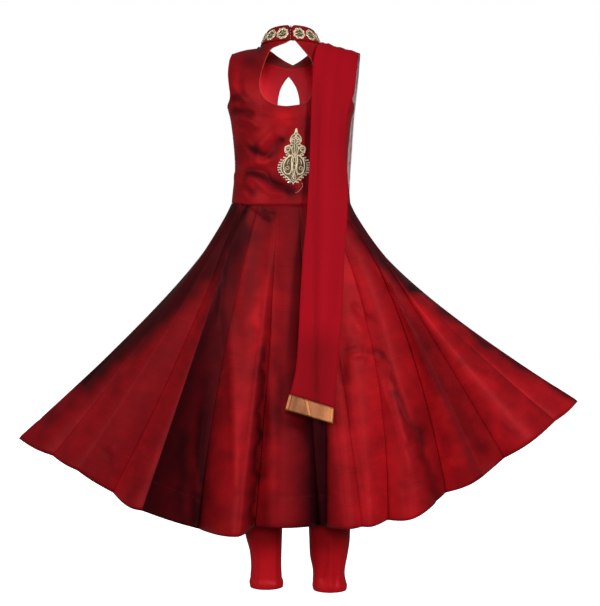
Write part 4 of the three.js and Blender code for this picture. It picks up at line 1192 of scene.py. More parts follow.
edge_down = np.concatenate([np.linspace(1, 97, 60), np.linspace(96, 1, 60)])
edge_side = np.concatenate([np.ones(60), -np.ones(60)])
edge_inset = 1.8 + 3.8 * smooth((edge_down - FRINGE_FROM) / 6)
edge_half = np.maximum(column(MOTIF, "down", "half", edge_down) - edge_inset, 0.4) * edge_side
path, out = on_motif(edge_half, edge_down, 1.3)
tube(motif, path, 0.8, out, 7, True, RIM, MOTIF_FLATTEN)
# The tip's drop and the palmette
cord_on_motif([(0, 1), (2.2, 9), (0, 14), (-2.2, 9)], 0.8, 1.6, closed=True)
for sign in (-1, 1):
    cord_on_motif([(0, 15), (sign * 4, 16.5), (sign * 8, 21), (sign * 7, 27), (sign * 3, 28)], 0.9, 1.6)
    leaf = [(sign * 3.5, 19), (sign * 6.2, 21.5), (sign * 4.4, 24.5), (sign * 2.6, 22)]
    cord_on_motif(leaf, 0.6, 1.7, closed=True)
cord_on_motif([(0, 17), (2.4, 22.5), (0, 27), (-2.4, 22.5)], 0.7, 2.0, closed=True)
# Scrolls
for sign in (-1, 1):
    spin = np.linspace(0, 2.9 * np.pi, 46)
    radius = lerp(6.0, 1.5, spin / spin[-1])
    path, out = on_motif(sign * (12.2 - radius * np.cos(spin)), 36.5 - radius * np.sin(spin), 2.0)
    tube(motif, path, lerp(1.25, 0.6, spin / spin[-1]), out, 8, False, RIM, MOTIF_FLATTEN)
    cord_on_motif([(sign * 4, 30), (sign * 5.5, 36), (sign * 4, 43), (sign * 1.5, 46)], 0.8, 1.7)
# The stem and spindle
for sign in (-1, 1):
    cord_on_motif([(sign * 1.5, 28), (sign * 1.5, 40), (0, 46)], 0.7, 1.9)
cord_on_motif([(0, 45), (2.6, 60), (1.5, 76), (0, 84), (-1.5, 76), (-2.6, 60)], 0.9, 2.2, closed=True)
for k in range(9):
    bead_on_motif(0.0, 50 + 3.6 * k, 1.9, 0.9, DARK if k % 2 else RIM)
# Paisleys with inner curls
PAISLEY = (
    (4.2, 47), (11, 50), (16.5, 58), (18, 67), (15.5, 76), (10, 79.5), (5.4, 76), (4.2, 67), (5.2, 57),
)
for sign in (-1, 1):
    cord_on_motif([(sign * x, y) for x, y in PAISLEY], 1.25, 2.4, closed=True)
    inside = [(sign * (11 + (x - 11) * 0.68), 66 + (y - 66) * 0.7) for x, y in PAISLEY]
    cord_on_motif(inside, 0.5, 1.6, BRONZE, closed=True)
    spin = np.linspace(0.4, 2.7 * np.pi, 34)
    radius = lerp(4.6, 1.0, spin / spin[-1])
    curl_across, curl_down = sign * (11.2 + radius * np.sin(spin)), 69.5 + radius * np.cos(spin)
    path, out = on_motif(curl_across, curl_down, 2.1)
    tube(motif, path, 0.55, out, 6, squash=0.9)
    cord_on_motif([(sign * 9, 54), (sign * 11.5, 58), (sign * 12.2, 62.5)], 0.7, 2.1)
    for k in range(6):
        bead_on_motif(sign * (8.6 + 1.1 * (k % 3)), 56 + 1.6 * k, 1.5, 0.6, PALE if k % 2 else DARK)
# Fringe of stones on short bars round the drop, standing clear of each other
FRINGE_PITCH = 4.1
for sign in (-1, 1):
    for k in range(13):
        at = 43 + FRINGE_PITCH * k
        reach = max(float(column(MOTIF, "down", "half", at)), 2.2)
        fan = 1.3 * (at - 66) / 26
        stem_across = np.linspace(sign * max(reach - 6.0, 1.0), sign * (reach - 0.6), 5)
        stem, out = on_motif(stem_across, np.linspace(at, at + fan, 5), 1.3)
        tube(motif, stem, np.linspace(0.6, 1.15, 5), out, 6)
        stone_on_motif(sign * (reach - 0.7), at + fan, 2.0, 1.35, PALE)
        bead_on_motif(sign * (reach - 3.4), at + FRINGE_PITCH / 2, 1.5, 0.8, DARK if k % 2 else RIM)
# The bottom rosette and the row of beads under the paisleys
ROSETTE_DOWN, ROSETTE_R, ROSETTE_BEADS = 86.5, 3.6, 9
for k in range(ROSETTE_BEADS):
    turn = 2 * np.pi * k / ROSETTE_BEADS
    bead_on_motif(ROSETTE_R * math.cos(turn), ROSETTE_DOWN + ROSETTE_R * math.sin(turn), 2.0, 1.15)
stone_on_motif(0.0, ROSETTE_DOWN, 2.3, 2.0, DARK)
for k in range(-3, 4):
    bead_on_motif(3.3 * k, 81.8 - 0.28 * k * k, 1.9, 0.95, PALE if k % 2 else RIM)
for x, y in ((0, 94.5), (2.2, 92.6), (-2.2, 92.6), (4.6, 90.4), (-4.6, 90.4), (0, 5), (0, 11), (0, 22.5)):
    bead_on_motif(x, y, 1.9, 0.95)
motif.finish("chest_motif_beadwork", "gold_applique", BEADWORK, ["chest_motif"])

# A thread end that hangs loose below the ornament
LOOSE_THREAD = ((14.5, 94.5), (16.6, 97), (16.2, 101), (13, 106), (8, 111), (5, 112))
loose = Build()
line = even_spline(LOOSE_THREAD, np.linspace(0, 1, 40))
path, out = on_motif(line[:, 0], line[:, 1], 1.0 + 1.2 * np.sin(np.linspace(0, 3.1, 40)))
tube(loose, path, 0.3, out, 5)
loose.finish("loose_thread", "gold_applique", [GOLD_RIM])

# Skirt


def gore_surface(index, across, down):
    """Points of one gore, counted from the wearer's right side round the front."""
    rows = FRONT_SEAMS
    front = index < GORES
    i = index if front else 2 * GORES - 1 - index
    share = across if front else 1 - across
    turned = 1 if front else -1

    def waist(degrees):
        a = np.radians(degrees)
        z = WAIST_Z - SEAM_GAP
        depth = float(column(TORSO, "z", "front" if front else "back", z))
        half = float(column(TORSO, "z", "half", z))
        return joined(-half * np.cos(a), -turned * depth * np.sin(a), z)

    start = waist(lerp(rows["waist"][i], rows["waist"][i + 1], share))

    def seam(k):
        hem = np.array([rows["hemX"][k], turned * rows["hemY"][k], rows["hemZ"][k]])
        bend_y = lerp(start[..., 1], turned * rows["hemY"][k], HEM_DEPTH_BEND)
        bend = joined(rows["ctrlX"][k], bend_y, rows["ctrlZ"][k])
        t = down[..., None]
        return (1 - t) ** 2 * start + 2 * t * (1 - t) * bend + t**2 * hem

    p = lerp(seam(i), seam(i + 1), share[..., None])
    at = rows["at"][i]
    rise = np.where(share < at, share / at, (1 - share) / (1 - at))
    swell = np.sin(rise * np.pi / 2) * down**SWELL_POWER
    crest = rows["crest"][i] * (1 if front else BACK_SWELL_SHARE)
    p[..., 1] -= turned * crest * swell
    p[..., 2] -= rows["sag"][i] * swell
    return p


GORE_ROWS, GORE_COLUMNS = 110, 17
GORE_WALL = 0.9
GORE_DIP_REACH = 70
GORE_UV_STEP = 400
EDGE_SHARES = np.array([0, 0.01, 0.022, 0.05])
HEM_TURN_UP = 50.0
HEM_PUCKER = 0.35
HEM_STITCH_DEPTH = 0.6
# How far the layers of the hem and of a seam's allowance lift the silk
HEM_PLY = 0.35
HEM_ROLL = 1.2
SEAM_GROOVE = 1.0
SEAM_DEPTH = 0.3
SEAM_ALLOWANCE = 7
ALLOWANCE_PLY = 0.2
WAIST_EASE_LENGTH = 12
STITCH_EVERY = 4.5
STITCH_LENGTH = 2.6
STITCH_R = 0.22
# Painted shade and light of each front gore's silk: at its first seam and its last
GORE_PAINTED_SHADES = (
    (0.7, 0.7), (0.95, 0.65), (0.6, 0.65), (1.1, 0.55), (0.05, 0.35), (0.8, 0.9), (1.0, 0.3),
    (0.25, 1.3), (1.25, 1.45), (1.3, 0.9), (1.9, 0.5), (1.1, 0.85), (1.2, 0.95), (1.2, 1.4),
)
# Where the silk turns from the light, or towards it, like the creases below but with a
# change of shade for a height
SKIRT_SHADES = (
    (-0.88, 60, 23, 0, 40, (
        (237, 204), (231, 236), (213, 264), (190, 288), (160, 315), (128, 345), (100, 368), (70, 390),
    )),
    (-0.4, 30, 30, 0, 24, ((266, 204), (264, 224), (262, 246))),
    (1.2, 12, 9, 0, 16, ((251, 203), (250, 214), (247, 228))),
    (-0.5, 4, 4, 0, 8, ((246.5, 204.5), (257.5, 206.5), (270, 212), (276, 213.5))),
    (-0.5, 3.5, 3.5, 0, 8, ((246.5, 208.5), (254.5, 212.5), (264.7, 216), (274, 220))),
    (-0.6, 3, 2.5, 0, 6, ((243.5, 202), (245, 206), (246, 212))),
    (-0.3, 20, 16, 20, 50, ((255, 226), (252, 268), (247, 325))),
    (-0.15, 26, 22, 20, 40, ((277, 232), (277, 262), (275, 300))),
    (0.3, 3, 14, 20, 60, ((247, 240), (243, 262), (238, 290), (232, 310))),
    (0.25, 16, 9, 60, 60, ((262, 285), (256, 330), (247, 380), (241, 430), (239, 480))),
    (0.35, 9, 8, 10, 14, ((256, 330), (258, 306), (263, 288), (270, 272))),
    (0.3, 5, 4, 10, 14, ((254, 352), (256, 336), (262, 318))),
    (-0.75, 10, 2, 30, 0, ((265, 335), (264, 370), (261, 410), (258, 450), (255, 500), (253, 526))),
    (-0.4, 16, 14, 30, 0, ((230, 300), (226, 330), (218, 372), (210, 420), (205, 470), (201, 525))),
    (0.4, 14, 10, 40, 20, ((240, 400), (236, 430), (234, 470), (236, 500))),
    (-0.35, 9, 8, 20, 20, ((272, 340), (277, 360), (281, 385), (284, 405))),
    (-0.3, 12, 10, 14, 14, ((274, 404), (284, 418), (292, 434))),
    (0.35, 12, 10, 30, 30, ((268, 440), (268, 470), (266, 505))),
    (-0.8, 20, 3, 30, 0, ((314, 400), (314, 440), (314, 480), (313, 527))),
    (-0.95, 8, 8, 10, 0, ((321, 400), (321, 440), (321, 480), (321, 527))),
    (-0.85, 17, 60, 0, 20, ((349, 196), (355, 220), (368, 242), (384, 259), (404, 277), (424, 294))),
    (-0.8, 8.5, 40, 20, 0, ((410, 282), (452, 316), (512, 360), (545, 379), (578, 399))),
    (-0.3, 4, 5, 8, 8, ((342, 350), (364, 350), (378, 353))),
    (-0.22, 10, 6, 10, 10, ((344, 340), (362, 344), (380, 350), (388, 360))),
    (-0.35, 4, 6, 8, 10, ((378, 352), (388, 362), (392, 378), (400, 396))),
    (-0.45, 13, 5, 14, 0, ((396, 384), (406, 414), (418, 432), (426, 454), (434, 480), (440, 498))),
    (-0.38, 13, 13, 20, 16, ((412, 318), (436, 376), (460, 418), (486, 454))),
    (-0.3, 6, 6, 8, 8, ((500, 420), (512, 432), (520, 438))),
    (-0.2, 9, 8, 16, 16, ((452, 330), (478, 346), (506, 366), (524, 380))),
    (0.25, 12, 12, 14, 14, ((352, 262), (362, 290), (370, 316))),
    (0.3, 9, 9, 20, 20, ((366, 258), (392, 284), (424, 312), (444, 330))),
    (0.25, 12, 12, 14, 14, ((456, 366), (486, 382), (516, 402))),
    (-0.4, 12, 12, 40, 0, ((185, 420), (183, 460), (181, 525))),
    (0.5, 7, 7, 14, 20, ((197, 452), (196, 476), (197, 500))),
    (0.15, 10, 10, 20, 0, ((223, 470), (224, 500), (224, 528))),
    (-0.3, 10, 9, 20, 10, ((261, 420), (262, 450), (261, 480))),
    (-0.3, 9, 9, 14, 14, ((275, 382), (276, 410), (275, 440))),
    (-0.15, 16, 14, 14, 20, ((249, 238), (248, 262), (246, 290))),
    (-0.25, 24, 16, 14, 10, ((90, 380), (70, 402), (44, 424))),
    (-0.3, 9, 9, 10, 10, ((343, 346), (344, 364), (344, 386))),
    (-0.15, 9, 9, 10, 10, ((376, 346), (382, 360), (386, 376))),
    (0.25, 13, 13, 14, 14, ((398, 330), (404, 350), (412, 374), (420, 392))),
    (-0.3, 9, 9, 14, 14, ((415, 404), (420, 430), (424, 448))),
    (0.3, 12, 14, 14, 14, ((436, 394), (446, 420), (454, 446), (456, 472))),
    (0.18, 12, 12, 14, 14, ((496, 398), (500, 422), (498, 444))),
    (-0.3, 9, 9, 10, 10, ((455, 361), (473, 369), (492, 377))),
)
# Painted shade of a crease, per mm of its height: darker in its trough, lighter on its ridge
CREASE_PAINTED_SHADE = 0.035


# A gore's painted shade and light: its own from seam to seam, the skirt's painted shades in front, and
# painted shade in its creases
def gore_painted_shade(index, gore):
    front = index < GORES
    first, last = GORE_PAINTED_SHADES[index if front else 2 * GORES - 1 - index]
    if not front:
        first, last = last, first
    own = lerp(first, last, gore["widths"] / gore["widths"][:, -1:])
    if front:
        own = own + fold_height(gore["points"], SKIRT_SHADES, 1.5 * RAGGED) * np.maximum(own, 0.4)
    return np.clip(own + CREASE_PAINTED_SHADE * gore["crease"], 0.04, 2.0)


# Creases of the skirt's front, as the photograph places them
SKIRT_FOLDS = (
    (-2.0, 3, 3, 4, 14, ((243.4, 204), (252, 207.5), (261, 211), (274.6, 219))),
    (1.6, 3.5, 4, 4, 14, ((246, 209), (256, 214), (268, 221))),
    (-3.4, 3.6, 3, 2, 8, ((242, 202), (244.5, 206), (245.5, 213))),
    (-7, 11, 9, 190, 0, ((212, 350), (207, 390), (202.5, 435), (199, 485), (196, 524))),
    (-12, 9, 7, 40, 0, ((321, 380), (321, 420), (321, 480), (321, 528))),
    (3.5, 9, 12, 50, 30, ((226, 300), (231, 350), (234, 400), (236, 450), (236, 500))),
    (-1.6, 4, 4, 10, 14, ((107, 446), (109, 460), (111.5, 474), (110, 484))),
    (1.4, 4, 5, 10, 14, ((112, 446), (116, 460), (117, 478))),
    (-1.6, 5, 4, 30, 20, ((118, 348), (104, 362), (90, 378), (78, 392))),
    (-1.6, 2.6, 2.2, 14, 14, ((344, 352), (356, 350), (367, 350.5), (377, 352.5), (385, 358), (390, 367))),
    (1.4, 3, 3.5, 8, 18, ((350, 356), (363, 355), (374, 357), (382, 363))),
    (-1.0, 2.2, 2.6, 8, 12, ((352, 361), (364, 361), (374, 364), (380, 371))),
    (-4.2, 8, 5, 30, 0, ((388, 368), (397, 392), (407, 418), (417, 436), (428, 466), (438, 498))),
    (2.2, 7, 8, 20, 20, ((380, 378), (388, 400), (397, 424), (404, 450), (412, 480))),
    (-2.0, 3.5, 3.5, 8, 10, ((402, 424), (408, 430), (412, 438), (413, 448))),
    (1.7, 3.5, 3.5, 8, 10, ((400, 430), (405, 437), (408, 447))),
    (-1.8, 4, 4, 8, 12, ((404, 445), (410, 452), (416, 456), (424, 462))),
    (-2.4, 9, 8, 20, 30, ((343, 334), (345, 352), (344, 372), (349, 388))),
    (1.8, 9, 9, 20, 30, ((352, 318), (362, 332), (372, 342))),
    (-2.2, 8, 7, 20, 30, ((350, 300), (360, 312), (372, 322), (384, 330))),
    (-1.6, 4, 4, 10, 14, ((471, 444), (478, 450), (486, 452), (496, 450))),
    (1.4, 4, 4, 10, 14, ((468, 438), (477, 444), (488, 445))),
    (-1.3, 3.5, 3.5, 8, 10, ((497, 431), (505, 437), (514, 438))),
    (-1.5, 5, 4, 20, 20, ((372, 262), (384, 282), (398, 300), (412, 318))),
    (-1.5, 6, 5, 30, 30, ((225, 250), (222, 290), (218, 330))),
    (1.5, 9, 9, 30, 30, ((262, 300), (266, 350), (268, 400))),
    (-1.4, 6, 6, 20, 30, ((262, 395), (265, 420), (268, 450))),
    (-1.2, 4, 4, 14, 14, ((252, 320), (257, 326), (262, 336), (264, 346))),
)
# Creases of the same kind behind
SKIRT_BACK_FOLDS = (
    (-2.0, 3, 3, 4, 14, ((251, 206), (262, 211), (274, 216))),
    (-2.0, 3, 3, 4, 14, ((336, 206), (326, 211), (314, 216))),
    (-5, 10, 9, 30, 0, ((203, 415), (199, 450), (196.5, 485), (195, 524))),
    (3, 9, 12, 50, 30, ((226, 300), (231, 350), (234, 400), (236, 450), (236, 500))),
    (-4.5, 8, 7, 20, 0, ((386, 366), (396, 392), (407, 420), (415, 440), (428, 470), (436, 500))),
    (2.5, 7, 8, 20, 20, ((379, 376), (386, 398), (396, 424), (404, 450), (412, 480))),
    (-2.0, 4.5, 3.5, 8, 18, ((300, 352), (308, 351), (316, 354), (322, 362))),
    (1.7, 4, 5, 8, 18, ((298, 358), (307, 357), (315, 361))),
    (-1.6, 4, 4, 12, 14, ((140, 410), (136, 424), (134, 440))),
    (-1.6, 4, 4, 10, 14, ((471, 444), (478, 450), (486, 452), (496, 450))),
    (-1.6, 6, 5, 30, 30, ((262, 300), (266, 350), (268, 400))),
    (1.6, 6, 5, 30, 30, ((330, 300), (334, 350), (336, 400))),
)


def gore_grid(index):
    """One gore's points with their distances from its seams and along its length."""
    across = np.concatenate([EDGE_SHARES, np.linspace(0.1, 0.9, GORE_COLUMNS), 1 - EDGE_SHARES[::-1]])
    down = np.linspace(0, 1, GORE_ROWS + 1)
    points = gore_surface(index, *np.meshgrid(across, down))
    if index < GORES:
        half = float(column(TORSO, "z", "half", WAIST_Z))
        dip = WAIST_DIP * (1 - np.clip(points[0, :, 0] / half, -1, 1) ** 2)
        below = points[0, :, 2] - points[..., 2]
        points[..., 2] -= dip * smooth(1 - below / GORE_DIP_REACH)
    edges = np.linalg.norm(np.diff(points, axis=1), axis=2)
    widths = np.concatenate([np.zeros((len(down), 1)), np.cumsum(edges, 1)], 1)
    steps = np.linalg.norm(np.diff(points, axis=0), axis=2)
    lengths = np.concatenate([np.zeros((1, len(across))), np.cumsum(steps, 0)])
    normals = vertex_normals(points.reshape(-1, 3), grid_quads(len(down), len(across)))
    return {"points": points, "normals": normals.reshape(points.shape), "widths": widths, "lengths": lengths}


def gore_relief(index, gore):
    """Height of the seams, the hem and the creases over a gore's own form."""
    front = index < GORES
    widths, lengths = gore["widths"], gore["lengths"]
    from_seam = np.minimum(widths, widths[:, -1:] - widths)
    from_hem = lengths[-1:] - lengths
    waist_ease = smooth(lengths / WAIST_EASE_LENGTH)
    groove = -SEAM_DEPTH * bump(from_seam, SEAM_GROOVE)
    allowance = ALLOWANCE_PLY * bump(widths - SEAM_ALLOWANCE, SEAM_ALLOWANCE / 2)
    ripple = np.sin(widths / 5.1 + 2.3 * np.sin(lengths / 37 + index)) * smooth(from_seam / 5)
    pucker = HEM_PUCKER * ripple * bump(from_hem - HEM_TURN_UP, 6)
    stitched = HEM_STITCH_DEPTH * bump(from_hem - HEM_TURN_UP, 1.6)
    hem_line = HEM_PLY * smooth((HEM_TURN_UP - from_hem) / 3) - stitched
    roll = -HEM_ROLL * bump(from_hem, 1.8)
    gore["crease"] = fold_height(gore["points"], SKIRT_FOLDS if front else SKIRT_BACK_FOLDS)
    return (groove + allowance + pucker + hem_line + gore["crease"]) * waist_ease + roll


def meet(grids, key):
    """The seam's own value on both gores beside it: the mean of the two."""
    for index, gore in enumerate(grids):
        after = grids[(index + 1) % len(grids)]
        middle = (gore[key][:, -1] + after[key][:, 0]) / 2
        if key == "normals":
            middle = normed(middle)
        gore[key][:, -1] = after[key][:, 0] = middle


gores = [gore_grid(index) for index in range(2 * GORES)]
meet(gores, "normals")
for index, gore in enumerate(gores):
    gore["points"] = gore["points"] + gore["normals"] * gore_relief(index, gore)[..., None]
meet(gores, "points")


def gore_parts(index, gore):
    front = index < GORES
    order = index % GORES + 1
    name = f"skirt_gore_{'front' if front else 'back'}_{order:02d}"
    points, normals, widths, lengths = (gore[key] for key in ("points", "normals", "widths", "lengths"))
    from_hem = lengths[-1:] - lengths
    uv = joined(widths - widths[:, -1:] / 2 + GORE_UV_STEP * index, lengths)
    build = Build()
    wall(build, [{"points": points, "uv": uv, "tone": gore_painted_shade(index, gore)}], GORE_WALL, inner_paint=1)
    # Stitches of the turned-up hem
    row = int(np.argmin(np.abs(from_hem[:, from_hem.shape[1] // 2] - HEM_TURN_UP)))
    line, line_normal = points[row], normals[row]
    run = widths[row]
    for start in np.arange(2.0, run[-1] - 4, STITCH_EVERY):
        spans = np.linspace(start, start + STITCH_LENGTH, 4)
        path, out = (
            joined(*(np.interp(spans, run, values[:, k]) for k in range(3))) for values in (line, line_normal)
        )
        above = np.array([0.02, STITCH_R, STITCH_R, 0.02])[:, None]
        tube(build, path + out * above, STITCH_R, out, 4, paint=2)
    hem_width, length = float(widths[-1, -1]), float(lengths[-1].mean())
    mean_width = float(widths[:, -1].mean())
    build.finish(
        name + "_cloth", "dress_silk", [SILK, SILK_WRONG_SIDE, THREAD], [name],
        dict(
            flat=(hem_width / MM_PER_M, length / MM_PER_M), held="hung", rests_on=["bodice_front_cloth"],
            area=mean_width * length / MM_PER_M**2,
        ),
    )


for index, gore in enumerate(gores):
    gore_parts(index, gore)

# Trousers


def waist_section(z):
    bodice_z = max(z, WAIST_Z)
    inset = BODICE_WALL + WAISTBAND_GAP + max(0, WAIST_Z - z) * WAISTBAND_TAPER
    return {"z": z, **{k: float(column(TORSO, "z", k, bodice_z)) - inset for k in ("half", "front", "back")}}


def section_point(section, angle, mirror, middle=0.0):
    depth = np.where(np.cos(angle) > 0, section["front"], section["back"])
    return joined(middle + mirror * section["half"] * np.sin(angle), -depth * np.cos(angle), section["z"])


def between(rings, steps):
    """More rings between the given ones, along smooth lines."""
    rings = np.array(rings)
    keys = run_length(rings.mean(1))
    want = np.concatenate(
        [np.linspace(keys[i], keys[i + 1], n, endpoint=False) for i, n in enumerate(steps)] + [keys[-1:]]
    )
    flat = rings.reshape(len(rings), -1)
    smooth_rings = np.stack(
        [column({"key": keys, "value": flat[:, k]}, "key", "value", want) for k in range(flat.shape[1])], -1
    )
    return smooth_rings.reshape(len(want), -1, 3)


LEG_FINE = 5
# Heights of the two rows of stitches above a leg's end
CUFF_STITCHES = (14, 17.5)
# Wrinkles of each leg: height, widths, fades and line as the photograph shows them
LEG_FOLDS = (
    (1.6, 3.5, 4.5, 30, 8, ((275, 534), (275.5, 550), (275, 572), (276, 590))),
    (-1.2, 4, 4, 30, 8, ((256, 538), (256.5, 560), (256, 588))),
    (-1.0, 3, 3, 14, 8, ((252, 566), (253, 580), (253.5, 590))),
    (-3.0, 5, 4, 20, 10, ((328, 540), (326, 556), (323, 572), (320.5, 584))),
    (2.4, 4, 5, 30, 8, ((331.5, 536), (331, 556), (330, 578), (331, 592))),
    (-1.6, 3, 3, 10, 8, ((337, 572), (336, 580), (336.5, 588))),
    (1.4, 3, 4, 10, 8, ((341, 566), (339, 578), (340, 588))),
    (-1.0, 2, 2, 4, 6, ((270, 583), (276, 582.5), (281, 583.5))),
    (-1.2, 2, 2, 4, 6, ((335, 583), (340, 582), (346, 585))),
)


def leg_parts(name, mirror, rows):
    around = LEG_OUTER_STEPS + LEG_INNER_STEPS
    middle = mirror * HALF_GAP
    crotch = {k: v[0] for k, v in SEAT.items()}
    waist = waist_section(WAISTBAND_TOP_Z - WAISTBAND_HEIGHT)
    waist["z"] -= SEAM_GAP
    k = np.arange(around * LEG_FINE) / LEG_FINE
    outer = k / LEG_OUTER_STEPS
    turns = np.where(outer <= 1, outer, 1 + (k - LEG_OUTER_STEPS) / LEG_INNER_STEPS)
    a = turns * np.pi
    rings = [
        joined(x + mirror * half * np.sin(a), -depth * np.cos(a), z)
        for z, x, half, depth in zip(rows["z"], rows["x"], rows["half"], rows["depth"])
    ]
    y = lerp(crotch["back"], -crotch["front"], (k - LEG_OUTER_STEPS) / LEG_INNER_STEPS)
    depth = np.where(y < 0, crotch["front"], crotch["back"])
    inner = joined(middle, y, crotch["z"] - CROTCH_DIP * (1 - np.clip(y / depth, -1, 1) ** 2))
    crotch_ring = np.where((outer <= 1)[:, None], section_point(crotch, a, mirror, middle), inner)
    rings.append(crotch_ring)
    tube_rings = between(rings, [3, 3, 6, 7, 8, 10, 12, 12, 12, 10, 6])
    k_open = np.arange(LEG_OUTER_STEPS * LEG_FINE + 1) / LEG_FINE
    open_angle = k_open / LEG_OUTER_STEPS * np.pi
    seat = [crotch_ring[: len(k_open)]]
    for i in range(1, len(SEAT["z"])):
        seat.append(section_point({key: v[i] for key, v in SEAT.items()}, open_angle, mirror, middle))
    seat.append(section_point(waist, open_angle, mirror, middle))
    seat_rings = between(seat, [5, 6, 5, 3])
    girth = np.cumsum(np.linalg.norm(np.diff(tube_rings[4], axis=0, append=tube_rings[4][:1]), axis=1))
    grids = []
    for rings_now in (tube_rings, seat_rings):
        points = rings_now[::-1]
        uv = joined(girth[: points.shape[1]], points[..., 2])
        grids.append({"points": points, "uv": uv, "flip": mirror < 0})
    closed = grids[0]
    closed["points"] = np.concatenate([closed["points"], closed["points"][:, :1]], 1)
    closed["uv"] = np.concatenate([closed["uv"], closed["uv"][:, :1] + [[[girth[-1], 0]]]], 1)
    cuff_z = rows["z"][0]

    def height(points):
        above = points[:, 2] - cuff_z
        seen = fold_height(points, LEG_FOLDS) * (points[:, 1] < 0)
        behind = (points[:, 1] >= 0) * 0.8 * np.sin(points[:, 0] / 4.3 + points[:, 2] / 30)
        stitched = -0.5 * bump(above - CUFF_STITCHES[0], 1.3) - 0.35 * bump(above - CUFF_STITCHES[1], 1.0)
        return seen + behind * bump(above - 60, 60) + stitched

    def fix(points, normals):
        normals = normals.copy()
        normals[np.abs(points[:, 0] - middle) < 0.01, 0] = 0
        return normed(normals)

    build = Build()
    wall(build, grids, CLOTH_WALL, height=height, fix=fix)
    build.finish(
        name + "_cloth", "trouser_cotton", [SATIN], [name],
        dict(flat=(0.4, 0.68), held="hung", rests_on=["trouser_waistband_cloth"], area=0.17),
    )


leg_parts("trouser_leg_right", -1, LEG_RIGHT)
leg_parts("trouser_leg_left", 1, LEG_LEFT)

# The waistband and its gathers
GATHERS = 72
GATHER_DEPTH = 0.25
WAIST_MEAN_R = 95
WAISTBAND_WALL = 1.2
turn = np.linspace(0, 2 * np.pi, 197)[:-1]
band_rows = np.linspace(WAISTBAND_TOP_Z, WAISTBAND_TOP_Z - WAISTBAND_HEIGHT, 14)
points = np.stack([section_point(waist_section(z), turn, 1) for z in band_rows])
depth_share = np.sin(np.linspace(0, np.pi, 14))[:, None]
gather = GATHER_DEPTH * np.sin(turn * GATHERS)[None, :] * depth_share
points = points + normed(points * [1, 1, 0]) * (gather - GATHER_DEPTH)[..., None]
uv = joined(turn * WAIST_MEAN_R, points[..., 2])
waistband = Build()
wall(waistband, [{"points": points, "uv": uv}], WAISTBAND_WALL, wrap=True)
waistband.finish(
    "trouser_waistband_cloth", "trouser_cotton", [SATIN], ["trouser_waistband"],
    dict(flat=(0.026, 0.56), held="gathered", rests_on=["trouser_leg_right_cloth"]),
)

# Stole: one long cloth pleated lengthwise into layers, over the wearer's left shoulder

LAYERS = 7
LAYER_POINTS = 14
STOLE_TURN = 14 / 27
BORDER_SHARE = 1 / 27
NET_WIDTH = 17.0
STOLE_WALL = 0.25
RIBBON_WALL = 0.35
STRIP_WALL = 0.3
LAYER_WIDTH = 80
STACK_TOP = STOLE_THICKNESS - 0.3
STACK_DEPTH = STOLE_THICKNESS - 0.8


def stole_edge(side, t):
    """Centripetal spline through one edge of the stole's path."""
    p = joined(*(STOLE_PATH[side + k] for k in "xyz"))
    p = np.concatenate([[2 * p[0] - p[1]], p, [2 * p[-1] - p[-2]]])
    last = len(p) - 4
    at = np.clip(np.asarray(t, float), 0, 1) * (last + 1)
    i = np.minimum(at.astype(int), last)
    w = (at - i)[..., None]
    p0, p1, p2, p3 = p[i], p[i + 1], p[i + 2], p[i + 3]

    def knot(a, b):
        return np.maximum(((a - b) ** 2).sum(-1) ** 0.25, 1e-4)[..., None]

    d0, d1, d2 = knot(p0, p1), knot(p1, p2), knot(p2, p3)
    m1 = ((p1 - p0) / d0 - (p2 - p0) / (d0 + d1) + (p2 - p1) / d1) * d1
    m2 = ((p2 - p1) / d1 - (p3 - p1) / (d1 + d2) + (p3 - p2) / d2) * d1
    return (
        p1 + m1 * w + (-3 * p1 + 3 * p2 - 2 * m1 - m2) * w**2 + (2 * p1 - 2 * p2 + m1 + m2) * w**3
    )


def stole_frame(t):
    """At places t: the left edge, the way across, that way at length 1, and the normal."""
    left, right = stole_edge("l", t), stole_edge("r", t)
    step = 1e-3
    left_run = stole_edge("l", t + step) - stole_edge("l", t - step)
    right_run = stole_edge("r", t + step) - stole_edge("r", t - step)
    across = right - left
    unit = normed(across)
    return left, across, unit, normed(np.cross(unit, normed(left_run + right_run)))


# How far each fold lies inside the stack's edge, in mm: its mean, swing and phase
LEFT_FOLDS = ((0.3, 0.5, 0.0), (2.6, 1.4, 1.1), (3.4, 1.6, 2.3), (2.2, 1.5, 4.0))
RIGHT_FOLDS = ((0.3, 0.4, 2.0), (2.2, 1.3, 0.4), (3.0, 1.5, 3.1), (0.6, 0.5, 5.0))
# Pleats of the top layer: height, place across it, share of its drift, and width
TOP_PLEATS = (
    (1.5, 0.19, 1, 0.05), (-1.3, 0.09, 1, 0.035), (1.1, 0.47, -1.4, 0.09), (-0.9, 0.33, -1, 0.05),
    (1.2, 0.8, 1, 0.1), (-0.6, 0.64, 0, 0.05),
)


